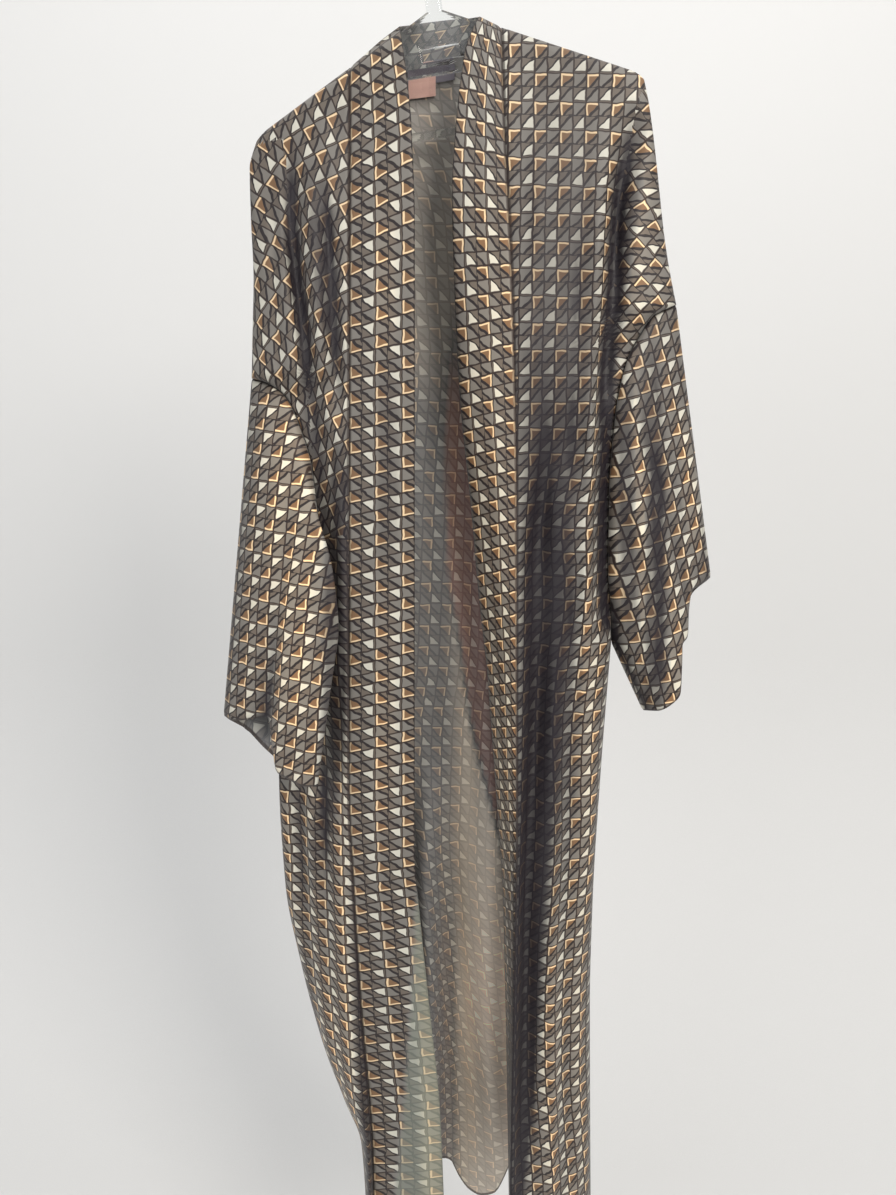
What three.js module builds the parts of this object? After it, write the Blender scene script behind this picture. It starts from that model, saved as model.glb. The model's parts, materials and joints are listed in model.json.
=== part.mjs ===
// Open-front abaya on its hanger. A long unlined robe in thin printed crepe, built from its cut
// pieces as 2 mm walls: back, two fronts, two sleeves, and the band that edges the opening.
// Millimetres, +Z up. The front faces -Y and "right" is the viewer's right (+X).
// The origin is inside the crown of the hanger's hook, where a rod carries it. "Drop" is the
// distance below it. The robe hangs a little crooked, so its left side lies lower.
import * as THREE from 'three';
import { mergeVertices } from 'three/addons/utils/BufferGeometryUtils.js';

// Driving dimensions
const WALL = 2;
const SEAM_INSET = 0.26;
const UNDERARM_GAP = 3.2;
const BAND_WIDTH = 68;
const HANGER_APEX = { x: 4.4, drop: 99.6 };
const HANGER_TILT = THREE.MathUtils.degToRad(9.25);
const ARM_ANGLE = THREE.MathUtils.degToRad(27.5);
const ARM_LENGTH = 224;
const ARM_HEIGHT = 18;
const HANGER_THICK = 11;
const SHOULDER_RADIUS = 11;
const SHOULDER_REST = 1.7;

// Cloth levels: 0 is the shoulder line, 1 the top of the armholes, 2 the underarms, 3 the hem.
// Each of the last three is a straight tilted line across the robe.
const LEVELS = [
  { level: 1, dropAtCentre: 470.4, slope: -0.1732 },
  { level: 2, dropAtCentre: 834.4, slope: -0.2254 },
  { level: 3, dropAtCentre: 1433.5, slope: -0.1 },
];
const YOKE_ROWS = [0, 0.004, 0.016, 0.036, 0.08, 0.16, 0.27, 0.4, 0.55, 0.7, 0.85];
const ARMHOLE_ROWS = [1, 1.02, 1.07, 1.15, 1.26, 1.38, 1.5, 1.62, 1.74, 1.86, 1.94, 2];
const SKIRT_ROWS = [2.07, 2.16, 2.25, 2.34, 2.43, 2.52, 2.61, 2.7, 2.79, 2.88, 2.95, 3];
const ROWS = [...YOKE_ROWS, ...ARMHOLE_ROWS, ...SKIRT_ROWS];
const FRONT_COLUMNS = 10;
const NECK_COLUMNS = 8;
const BAND_COLUMNS = 4;

// The places in the tables are as a far, level eye sees the robe. It was looked at from near by, by an
// eye at chest height that was turned down, so what hangs lower is larger than it seems.
const SEEN = { from: 2500, x: 19.6, drop: 743, spread: 2.5535 };
const EYE = { distance: 1032, down: THREE.MathUtils.degToRad(13.3) };

// How far the cloth stands forward and back of the hanger's plane, by depth below the shoulder
const STAND_OFF = [
  { below: 0, front: 0, back: 0 },
  { below: 40, front: 3, back: 4 },
  { below: 100, front: 9, back: 10 },
  { below: 200, front: 18, back: 19 },
  { below: 350, front: 27, back: 30 },
  { below: 600, front: 35, back: 40 },
  { below: 900, front: 39, back: 50 },
  { below: 1320, front: 42, back: 66 },
];

// Edges of the opening: the free edge of each band, and the seam that joins it to its front
const OPENING = {
  right: {
    edge: [
      { level: 0, x: 54 }, { level: 0.13, x: 38 }, { level: 0.4, x: 27 }, { level: 0.56, x: 24 },
      { level: 0.87, x: 27 }, { level: 1.18, x: 33 }, { level: 1.48, x: 44 }, { level: 1.79, x: 54 },
      { level: 2.06, x: 65 }, { level: 2.24, x: 73 }, { level: 2.42, x: 80 }, { level: 3, x: 87 },
    ],
    seam: [
      { level: 0, x: 78 }, { level: 0.25, x: 80 }, { level: 0.9, x: 89 }, { level: 1.5, x: 93 },
      { level: 2.25, x: 93 }, { level: 3, x: 85 },
    ],
  },
  left: {
    edge: [
      { level: 0, x: -33 }, { level: 0.2, x: -24 }, { level: 0.33, x: -20 }, { level: 0.66, x: -16 },
      { level: 2.3, x: -16 }, { level: 2.4, x: -11 }, { level: 2.58, x: 0 }, { level: 2.76, x: 11 },
      { level: 3, x: 17 },
    ],
    seam: [
      { level: 0, x: -87 }, { level: 2.15, x: -87 }, { level: 2.34, x: -82 }, { level: 2.56, x: -74 },
      { level: 2.82, x: -62 }, { level: 3, x: -60 },
    ],
  },
};

// Outer edges of the body: the fold past the hanger's tips above the armholes, and the side
// seams below them, which swing back on the left
const OUTLINE = {
  right: {
    yoke: [
      { level: 0, x: 233, y: 0 }, { level: 0.08, x: 238, y: 0 }, { level: 0.26, x: 245, y: 0 },
      { level: 0.67, x: 256, y: 0 }, { level: 1, x: 268, y: 0 },
    ],
    skirt: [
      { level: 2, x: 197, y: 0 }, { level: 2.24, x: 185, y: 2 }, { level: 2.45, x: 177, y: 4 },
      { level: 2.63, x: 174, y: 4 }, { level: 3, x: 175, y: 6 },
    ],
  },
  left: {
    yoke: [
      { level: 0, x: -189, y: 0 }, { level: 0.06, x: -196, y: 0 }, { level: 0.28, x: -195, y: 0 },
      { level: 0.58, x: -192, y: 0 }, { level: 0.79, x: -193, y: 0 }, { level: 1, x: -194, y: 0 },
    ],
    skirt: [
      { level: 2, x: -158, y: 2 }, { level: 2.09, x: -165, y: 5 }, { level: 2.32, x: -158, y: 11 },
      { level: 2.47, x: -142, y: 19 }, { level: 2.62, x: -120, y: 31 }, { level: 2.74, x: -95, y: 45 },
      { level: 2.82, x: -76, y: 54 }, { level: 3, x: -68, y: 60 },
    ],
  },
};

// Armhole seams, from the outer fold (level 1) to the underarm (level 2), front and back
const ARMHOLES = {
  right: [
    { level: 1, frontX: 268, frontY: 0, backX: 268, backY: 0 },
    { level: 1.02, frontX: 244, frontY: -5, backX: 257, backY: 5 },
    { level: 1.07, frontX: 229, frontY: -9, backX: 245, backY: 9 },
    { level: 1.15, frontX: 213, frontY: -11, backX: 232, backY: 12 },
    { level: 1.3, frontX: 201, frontY: -11, backX: 217, backY: 15 },
    { level: 1.54, frontX: 194, frontY: -9, backX: 207, backY: 15 },
    { level: 1.78, frontX: 193, frontY: -8, backX: 202, backY: 12 },
    { level: 1.92, frontX: 196.5, frontY: -6, backX: 200, backY: 7 },
    { level: 2, frontX: 197, frontY: 0, backX: 197, backY: 0 },
  ],
  left: [
    { level: 1, frontX: -194, frontY: 0, backX: -194, backY: 0 },
    { level: 1.02, frontX: -178, frontY: -6, backX: -186, backY: 5 },
    { level: 1.07, frontX: -157, frontY: -10, backX: -175, backY: 10 },
    { level: 1.15, frontX: -143, frontY: -13, backX: -165, backY: 14 },
    { level: 1.3, frontX: -127, frontY: -16, backX: -156, backY: 17 },
    { level: 1.54, frontX: -119, frontY: -18, backX: -152, backY: 19 },
    { level: 1.78, frontX: -126, frontY: -16, backX: -154, backY: 18 },
    { level: 1.92, frontX: -142, frontY: -10, backX: -156.5, backY: 12 },
    { level: 2, frontX: -158, frontY: 2, backX: -158, backY: 2 },
  ],
};

// Sleeve hems, once round: from the outer fold (0) along the front to the underarm fold (1)
// and back behind (2). The right hem falls in steps, the left one in two overlapping lengths.
const SLEEVE_HEMS = {
  right: [
    { round: 0, x: 306, drop: 721, y: 0 }, { round: 0.12, x: 295, drop: 729, y: -9 },
    { round: 0.22, x: 284, drop: 737, y: -15 }, { round: 0.34, x: 281, drop: 760, y: -20 },
    { round: 0.44, x: 279, drop: 785, y: -24 }, { round: 0.53, x: 273, drop: 795, y: -29 },
    { round: 0.63, x: 272, drop: 820, y: -33 }, { round: 0.73, x: 270, drop: 846, y: -34 },
    { round: 0.83, x: 260, drop: 859, y: -31 }, { round: 0.92, x: 245, drop: 866, y: -20 },
    { round: 1, x: 232, drop: 866, y: -2 }, { round: 1.15, x: 240, drop: 862, y: 13 },
    { round: 1.4, x: 257, drop: 846, y: 19 }, { round: 1.6, x: 267, drop: 815, y: 18 },
    { round: 1.76, x: 276, drop: 776, y: 15 }, { round: 1.9, x: 286, drop: 740, y: 10 },
    { round: 2, x: 306, drop: 721, y: 0 },
  ],
  left: [
    { round: 0, x: -225, drop: 872, y: 2 }, { round: 0.1, x: -214, drop: 877, y: -14 },
    { round: 0.2, x: -197, drop: 875, y: -24 }, { round: 0.28, x: -176, drop: 872, y: -32 },
    { round: 0.34, x: -170, drop: 900, y: -44 }, { round: 0.41, x: -164, drop: 929, y: -52 },
    { round: 0.49, x: -148, drop: 938, y: -62 }, { round: 0.58, x: -132, drop: 944, y: -69 },
    { round: 0.66, x: -119, drop: 944, y: -66 }, { round: 0.76, x: -131, drop: 940, y: -57 },
    { round: 0.88, x: -158, drop: 920, y: -46 }, { round: 1, x: -184, drop: 900, y: -24 },
    { round: 1.2, x: -196, drop: 889, y: -10 }, { round: 1.5, x: -206, drop: 883, y: 8 },
    { round: 1.8, x: -220, drop: 876, y: 12 }, { round: 2, x: -225, drop: 872, y: 2 },
  ],
};

// How far the back's hem hangs above the level of the fronts' hems, across the robe
const BACK_HEM_RISE = [
  { x: -68, rise: 0 }, { x: 4, rise: 58 }, { x: 11, rise: 64 }, { x: 22, rise: 58 },
  { x: 31, rise: 38 }, { x: 44, rise: 21 }, { x: 58, rise: 14 }, { x: 72, rise: 17 },
  { x: 81, rise: 30 }, { x: 88, rise: 44 }, { x: 100, rise: 52 }, { x: 130, rise: 38 },
  { x: 175, rise: 0 },
];

// How gently each panel dips into its armhole: share of its width, and the level where it ends
const ARMHOLE_DIP = {
  right: { dip: 0.28, end: 2 },
  left: { dip: 1, end: 2.2 },
  back: { dip: 0.3, end: 2 },
};
const SLEEVE_ROWS = [0, 0.05, 0.12, 0.21, 0.32, 0.44, 0.56, 0.68, 0.8, 0.91, 1];
const SLEEVE_FULLNESS = {
  right: { front: 17, back: 12, sideways: 0 },
  left: { front: 26, back: 10, sideways: 30 },
};

// Largest folds. A trough has a positive depth and a ridge a negative one; x follows the level.
const FOLDS = {
  front_right: [
    { from: 0.1, to: 1.45, xFrom: 224, xMid: 200, xTo: 190, depth: 26, half: 12 },
    { from: 1.15, to: 3.1, xFrom: 127, xMid: 112, xTo: 91, depth: 19, half: 14 },
    { from: 0.25, to: 1.7, xFrom: 170, xMid: 158, xTo: 152, depth: 5, half: 13 },
    { from: 1.5, to: 3.1, xFrom: 160, xMid: 150, xTo: 148, depth: 8, half: 12 },
  ],
  front_left: [
    { from: 0.05, to: 1.4, xFrom: -157, xMid: -142, xTo: -121, depth: 17, half: 10 },
    { from: 0.3, to: 1.25, xFrom: -116, xMid: -106, xTo: -96, depth: 10, half: 8 },
    { from: 1.75, to: 2.75, xFrom: -146, xMid: -140, xTo: -112, depth: 14, half: 11 },
    { from: 1.9, to: 2.8, xFrom: -118, xMid: -112, xTo: -90, depth: 9, half: 8 },
    { from: 1.2, to: 2.7, xFrom: -130, xMid: -138, xTo: -140, depth: 19, half: 34 },
  ],
  back: [
    { from: 0.12, to: 1.5, xFrom: 215, xMid: 196, xTo: 178, depth: 22, half: 16 },
    { from: 0.12, to: 1.5, xFrom: -160, xMid: -140, xTo: -118, depth: 20, half: 15 },
    { from: 0.9, to: 3.2, xFrom: 118, xMid: 126, xTo: 128, depth: 22, half: 17 },
    { from: 0.6, to: 3.2, xFrom: 40, xMid: 62, xTo: 70, depth: 17, half: 16 },
    { from: 2.1, to: 3.4, xFrom: -4, xMid: -2, xTo: 0, depth: 44, half: 15 },
    { from: 1, to: 2.7, xFrom: -70, xMid: -62, xTo: -48, depth: 18, half: 17 },
  ],
};
const SLEEVE_FOLDS = {
  right: [
    { round: 0.3, from: 0.15, to: 1.1, depth: 9, half: 0.07 },
    { round: 0.62, from: 0.05, to: 0.9, depth: 7, half: 0.08 },
    { round: 1.45, from: 0.1, to: 1.1, depth: 7, half: 0.1 },
  ],
  left: [
    { round: 0.3, from: 0.1, to: 1.1, depth: 12, half: 0.06 },
    { round: 0.47, from: 0.3, to: 1.1, depth: 6, half: 0.06 },
    { round: 1.55, from: 0.1, to: 1.1, depth: 7, half: 0.1 },
  ],
};

// Labels at the back neck, blank, lying on the inside of the back
const LABELS = [
  { name: 'neck_label', x: [-25, 27], topDrop: [163, 155], height: 17, lift: 1.9 },
  { name: 'size_label', x: [-24, 6], topDrop: [168, 164], height: 26, lift: 3.6 },
];

const COLOURS = {
  print: 0x6b6156,
  inside: 0x6d6e66,
  label: 0x8d8791,
  sizeLabel: 0xd9a79b,
  hanger: 0xdfe6ea,
  hook: 0xb9bcc0,
};

// Small mathematics
const clamp = (value, low, high) => Math.min(Math.max(value, low), high);
const mix = (from, to, share) => from + (to - from) * share;
const ease = (value) => {
  const share = clamp(value, 0, 1);
  return share * share * (3 - 2 * share);
};

// Share of a level that lies between the ends of the armholes
const besideArmhole = (level, end = 2) => ease((level - 1) / 0.1) * ease((end - level) / 0.1);

// Places a column between a seam (0) and an outer edge (1): closer together towards a fold or
// side seam, evenly towards an armhole
const columnPlace = (share, level) =>
  mix(Math.pow(Math.sin((share * Math.PI) / 2), 0.9), share, besideArmhole(level));

// A smooth curve through a column of a table, which never passes beyond its rows
function track(table, key, column) {
  const at = table.map((row) => row[key]);
  const value = table.map((row) => row[column]);
  const last = at.length - 1;
  const rise = at.slice(1).map((end, i) => (value[i + 1] - value[i]) / (end - at[i]));
  const slope = at.map((_, i) => {
    if (i === 0) return rise[0];
    if (i === last) return rise[last - 1];
    if (rise[i - 1] * rise[i] <= 0) return 0;
    return (2 * rise[i - 1] * rise[i]) / (rise[i - 1] + rise[i]);
  });
  return (where) => {
    const place = clamp(where, at[0], at[last]);
    const i = clamp(at.findIndex((end) => end >= place) - 1, 0, last - 1);
    const width = at[i + 1] - at[i];
    const t = (place - at[i]) / width;
    const straight = value[i] + (value[i + 1] - value[i]) * (3 - 2 * t) * t * t;
    const bend = t * (1 - t) * width * (slope[i] * (1 - t) - slope[i + 1] * t);
    return straight + bend;
  };
}

const tracks = {};
for (const side of ['right', 'left']) {
  tracks[side] = {
    edgeX: track(OPENING[side].edge, 'level', 'x'),
    seamX: track(OPENING[side].seam, 'level', 'x'),
    yokeX: track(OUTLINE[side].yoke, 'level', 'x'),
    yokeY: track(OUTLINE[side].yoke, 'level', 'y'),
    skirtX: track(OUTLINE[side].skirt, 'level', 'x'),
    skirtY: track(OUTLINE[side].skirt, 'level', 'y'),
    frontHoleX: track(ARMHOLES[side], 'level', 'frontX'),
    frontHoleY: track(ARMHOLES[side], 'level', 'frontY'),
    backHoleX: track(ARMHOLES[side], 'level', 'backX'),
    backHoleY: track(ARMHOLES[side], 'level', 'backY'),
    hemX: track(SLEEVE_HEMS[side], 'round', 'x'),
    hemY: track(SLEEVE_HEMS[side], 'round', 'y'),
    hemDrop: track(SLEEVE_HEMS[side], 'round', 'drop'),
  };
}
const frontStandOff = track(STAND_OFF, 'below', 'front');
const backStandOff = track(STAND_OFF, 'below', 'back');
const backHemRise = track(BACK_HEM_RISE, 'x', 'rise');

// Drop of the cloth's shoulder line, which lies on the hanger's arms
function shoulderDrop(x) {
  const angle = x > HANGER_APEX.x ? ARM_ANGLE - HANGER_TILT : ARM_ANGLE + HANGER_TILT;
  const run = Math.abs(x - HANGER_APEX.x);
  return HANGER_APEX.drop + run * Math.tan(angle) - SHOULDER_REST / Math.cos(angle);
}

// Top edge of the robe: the shoulder line, lifted at the neck and rounded past the arms' tips
function topDrop(x) {
  const collar = Math.min(clamp((x + 87) / 54, 0, 1) * 8, clamp((78 - x) / 24, 0, 1.2) * 4);
  const pastTip = Math.max(x - 214, -171 - x, 0) / 19;
  return shoulderDrop(x) - collar + 7 * pastTip * pastTip;
}

// Drop of a level line at a place across the robe, below a given top edge
function levelDrop(level, x, top) {
  if (level <= 1) {
    return mix(top, LEVELS[0].dropAtCentre + LEVELS[0].slope * x, level);
  }
  const upper = LEVELS[level <= 2 ? 0 : 1];
  const lower = LEVELS[level <= 2 ? 1 : 2];
  const share = level - upper.level;
  return mix(upper.dropAtCentre + upper.slope * x, lower.dropAtCentre + lower.slope * x, share);
}

// How far a wall stands from the hanger's plane: over the arm in an arc, then hanging away
function standOff(below, growth) {
  const arc = 1 - clamp(below / SHOULDER_RADIUS, 0, 1);
  return SHOULDER_RADIUS * Math.sqrt(1 - arc * arc) + growth(Math.max(below, 0));
}

// Combined depth of a panel's folds at a place
function foldDepth(folds, x, level) {
  let sum = 0;
  for (const fold of folds) {
    const run = (level - fold.from) / (fold.to - fold.from);
    if (run <= 0 || run >= 1) continue;
    const centre = run < 0.5 ? mix(fold.xFrom, fold.xMid, run * 2) : mix(fold.xMid, fold.xTo, run * 2 - 1);
    const reach = (x - centre) / fold.half;
    sum += fold.depth * Math.exp(-reach * reach) * ease(run / 0.3) * ease((1 - run) / 0.2);
  }
  return sum;
}

// Outer edge of a front or of the back at a level
function outerEdge(side, face, level) {
  const of = tracks[side];
  if (level <= 1) return { x: of.yokeX(level), y: of.yokeY(level) };
  if (level >= 2) return { x: of.skirtX(level), y: of.skirtY(level) };
  if (face === 'front') return { x: of.frontHoleX(level), y: of.frontHoleY(level) };
  return { x: of.backHoleX(level), y: of.backHoleY(level) };
}

// How far out a section stands at a place across it. It closes round at a fold or side seam,
// squarely over the hanger and softer below, and dips gently into an armhole seam.
function sectionShare(across, level, { dip, end }) {
  const power = mix(6, 2.6, ease(level / 0.35));
  const round = Math.pow(1 - Math.pow(clamp(across, 0, 1), power), 1 / power);
  return mix(round, ease((1 - across) / dip), besideArmhole(level, end));
}

// The seam between a front and its band, slightly sunk on the left and raised on the right
function bandSeam(side, level) {
  const x = tracks[side].seamX(level);
  const top = topDrop(x);
  const drop = levelDrop(level, x, top);
  const below = drop - shoulderDrop(x);
  const sunk = side === 'left' ? mix(5, 12, ease(level - 2)) : -3;
  const y = -standOff(below, frontStandOff) + sunk * ease(below / 60);
  return new THREE.Vector3(x, y, -drop);
}

function frontPoint(side, column, level) {
  const seam = bandSeam(side, level);
  const edge = outerEdge(side, 'front', level);
  const across = columnPlace(column, level);
  const x = mix(seam.x, edge.x, across);
  const drop = levelDrop(level, x, topDrop(x));
  const below = drop - shoulderDrop(x);
  const share = sectionShare(across, level, ARMHOLE_DIP[side]);
  const face = mix(seam.y, -standOff(below, frontStandOff), ease(across / 0.3));
  const folds = foldDepth(FOLDS[`front_${side}`], x, level) * ease(below / 50);
  const room = Math.min(share, ease(across / 0.12));
  return new THREE.Vector3(x, edge.y * (1 - share) + face * share + folds * room, -drop);
}

// Back: columns run from the left edge (0) to the neck (1 to 2) and on to the right edge (3)
function neckCurve(x) {
  const left = bandSeam('left', 0);
  const right = bandSeam('right', 0);
  const share = clamp((x - left.x) / (right.x - left.x), 0, 1);
  const bow = 2 * Math.sqrt(share * (1 - share));
  return { bow, sag: mix(-left.z, -right.z, share) + 20 * bow * bow - topDrop(x) };
}

function backX(column, level) {
  const left = outerEdge('left', 'back', level).x;
  const right = outerEdge('right', 'back', level).x;
  const spread = ease(level / 0.6);
  const neckLeft = mix(tracks.left.seamX(0), mix(left, right, 0.27), spread);
  const neckRight = mix(tracks.right.seamX(0), mix(left, right, 0.73), spread);
  if (column <= 1) return mix(neckLeft, left, columnPlace(1 - column, level));
  if (column >= 2) return mix(neckRight, right, columnPlace(column - 2, level));
  const round = 0.5 - 0.5 * Math.cos(Math.PI * (column - 1));
  return mix(neckLeft, neckRight, mix(round, column - 1, spread));
}

function backPoint(column, level) {
  const left = outerEdge('left', 'back', level);
  const right = outerEdge('right', 'back', level);
  const middle = mix(-2, mix(left.x, right.x, 0.5), ease(level / 0.6));
  const x = backX(column, level);
  const side = x < middle ? left : right;
  const reach = (x - middle) / (side.x - middle);
  const neck = column > 1 && column < 2 ? neckCurve(backX(column, 0)) : { bow: 0, sag: 0 };
  const rise = backHemRise(x) * clamp(level - 2, 0, 1);
  const drop = levelDrop(level, x, topDrop(x) + neck.sag) - rise;
  const below = drop - shoulderDrop(x);
  const share = sectionShare(reach, level, ARMHOLE_DIP.back);
  const collar = 16 * neck.bow * (1 - ease(level / 0.3));
  const face = standOff(below, backStandOff) + collar;
  const folds = foldDepth(FOLDS.back, x, level) * ease(below / 50);
  const centreY = mix(side.y, (left.y + right.y) / 2, ease(1 - reach));
  return new THREE.Vector3(x, centreY * (1 - share) + (face - folds) * share, -drop);
}

// Band down one side of the opening, its free edge turned inwards where it is seen edge-on
function bandPoint(side, across, level) {
  const seam = bandSeam(side, level);
  const x = mix(seam.x, tracks[side].edgeX(level), across);
  const drop = levelDrop(level, x, topDrop(x));
  if (side === 'left') {
    const flat = -standOff(drop - shoulderDrop(x), frontStandOff) - 3 * ease(level / 0.2);
    return new THREE.Vector3(x, mix(seam.y, flat, ease(across * 1.4)), -drop);
  }
  const spread = seam.x - tracks.right.edgeX(level);
  const turn = Math.sqrt(Math.max(BAND_WIDTH * BAND_WIDTH - spread * spread, 0));
  const inward = turn * ease((level - 0.45) / 0.6);
  return new THREE.Vector3(x, seam.y + inward * (0.35 * across + 0.65 * across * across), -drop);
}

// Band round the back of the neck: from the neck seam up to its free edge
function neckBandPoint(round, across) {
  if (round === 0) return bandPoint('left', across, 0);
  if (round === 1) return bandPoint('right', across, 0);
  const bow = Math.sin(Math.PI * round);
  const place = 0.5 - 0.5 * Math.cos(Math.PI * round);
  const top = bandPoint('left', 1, 0).lerp(bandPoint('right', 1, 0), place);
  top.y += 40 * bow;
  top.z += 10 * bow;
  return backPoint(1 + round, 0).lerp(top, across);
}

// Sleeve: a tube from the armhole (along = 0) to the hem (along = 1)
function armholePoint(side, round) {
  const steps = ARMHOLE_ROWS.length - 1;
  const place = (round <= 1 ? round : 2 - round) * steps;
  const low = Math.min(Math.floor(place), steps - 1);
  const level = mix(ARMHOLE_ROWS[low], ARMHOLE_ROWS[low + 1], place - low);
  const edge = outerEdge(side, round <= 1 ? 'front' : 'back', level);
  return new THREE.Vector3(edge.x, edge.y, -levelDrop(level, edge.x, 0));
}

function sleevePoint(side, round, along) {
  const of = tracks[side];
  const start = armholePoint(side, round);
  const end = new THREE.Vector3(of.hemX(round), of.hemY(round), -of.hemDrop(round));
  const point = start.lerp(end, along);
  const full = SLEEVE_FULLNESS[side];
  const swell = 2.6 * Math.sqrt(along) * (1 - along);
  const girth = Math.pow(Math.sin(Math.PI * (round % 1)), 0.7);
  let folds = 0;
  for (const fold of SLEEVE_FOLDS[side]) {
    const run = (along - fold.from) / (fold.to - fold.from);
    if (run <= 0) continue;
    const reach = (round - fold.round) / fold.half;
    folds += fold.depth * Math.exp(-reach * reach) * ease(run / 0.3) * (1 - 0.6 * along);
  }
  if (round < 1) {
    point.y -= full.front * swell * girth - folds;
    const aside = full.sideways * ease(along / 0.25) * (1 - along);
    point.x += aside * ease((round - 0.3) / 0.2) * ease((1 - round) / 0.2);
  } else {
    point.y += full.back * swell * girth - folds;
  }
  return point;
}

// Grids of points, row by row
function grid(rows, columns, point) {
  return rows.map((row) => columns.map((column) => point(column, row)));
}

const even = (count, from = 0, to = 1) =>
  Array.from({ length: count + 1 }, (_, i) => mix(from, to, i / count));

const frontColumns = even(FRONT_COLUMNS);
const neckColumns = even(NECK_COLUMNS);
const backColumns = [
  ...even(FRONT_COLUMNS).slice(0, -1),
  ...neckColumns.map((share) => 1 + share),
  ...even(FRONT_COLUMNS, 2, 3).slice(1),
];
const sleeveRounds = even(2 * (ARMHOLE_ROWS.length - 1), 0, 2).slice(0, -1);

// Cloth pieces. "outward" is the sign that turns a grid's own normal to the right side.
const CLOTH = {
  back: { points: grid(ROWS, backColumns, backPoint), outward: -1, colour: COLOURS.inside },
  band_neck: {
    points: grid(even(BAND_COLUMNS), neckColumns, neckBandPoint),
    outward: 1,
    colour: COLOURS.print,
  },
};
for (const side of ['left', 'right']) {
  const turn = side === 'right' ? 1 : -1;
  CLOTH[`front_${side}`] = {
    points: grid(ROWS, frontColumns, (column, level) => frontPoint(side, column, level)),
    outward: turn,
    colour: COLOURS.print,
  };
  CLOTH[`band_${side}`] = {
    points: grid(ROWS, even(BAND_COLUMNS), (across, level) => bandPoint(side, across, level)),
    outward: -turn,
    colour: COLOURS.print,
  };
  CLOTH[`sleeve_${side}`] = {
    points: grid(SLEEVE_ROWS, sleeveRounds, (round, along) => sleevePoint(side, round, along)),
    outward: -turn,
    colour: COLOURS.print,
    tube: true,
  };
}

// Normals of a grid, from its neighbouring points
function gridNormals({ points, outward, tube }) {
  const lastRow = points.length - 1;
  const lastColumn = points[0].length - 1;
  return points.map((row, j) => row.map((_, i) => {
    const leftOf = tube ? (i + lastColumn) % (lastColumn + 1) : Math.max(i - 1, 0);
    const rightOf = tube ? (i + 1) % (lastColumn + 1) : Math.min(i + 1, lastColumn);
    const across = row[rightOf].clone().sub(row[leftOf]);
    const down = points[Math.min(j + 1, lastRow)][i].clone().sub(points[Math.max(j - 1, 0)][i]);
    return down.cross(across).normalize().multiplyScalar(outward);
  }));
}

// Neighbouring pieces share their normals along a seam, so that their edges lie flush
function shareNormals(cloths) {
  const rims = [];
  for (const { points, normals, tube } of cloths) {
    const lastRow = points.length - 1;
    const lastColumn = points[0].length - 1;
    points.forEach((row, j) => row.forEach((point, i) => {
      const onSide = !tube && (i === 0 || i === lastColumn);
      const atUnderarm = tube && i === points[0].length / 2;
      if ((j === 0 || j === lastRow || onSide) && !atUnderarm) rims.push({ point, normal: normals[j][i], normals, j, i });
    }));
  }
  const shared = rims.map((rim) => {
    const sum = new THREE.Vector3();
    for (const other of rims) {
      if (rim.point.distanceToSquared(other.point) < 1e-4) sum.add(other.normal);
    }
    return sum.length() > 0.3 ? sum.normalize() : rim.normal;
  });
  rims.forEach(({ normals, j, i }, index) => {
    normals[j][i] = shared[index];
  });
}

// Pulls the edges of a grid in, which leaves the gap at the seams. A sleeve's is wider at the
// underarm, where its fold turns away from the body's.
function insetEdges({ points, tube }) {
  const lastRow = points.length - 1;
  const lastColumn = points[0].length - 1;
  const moved = points.map((row) => row.map((point) => point.clone()));
  const pull = (j, i, toJ, toI) => {
    moved[j][i].add(points[toJ][toI].clone().sub(points[j][i]).setLength(SEAM_INSET));
    if (!tube || j !== 0) return;
    const extra = UNDERARM_GAP * Math.max(0, 1 - Math.abs(i - points[0].length / 2) / 3);
    moved[j][i].add(new THREE.Vector3(Math.sign(points[j][i].x) * extra, 0, -extra));
  };
  for (let i = 0; i <= lastColumn; i += 1) {
    pull(0, i, 1, i);
    pull(lastRow, i, lastRow - 1, i);
  }
  for (let j = 0; j <= lastRow && !tube; j += 1) {
    pull(j, 0, j, 1);
    pull(j, lastColumn, j, lastColumn - 1);
  }
  return moved;
}

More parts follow.
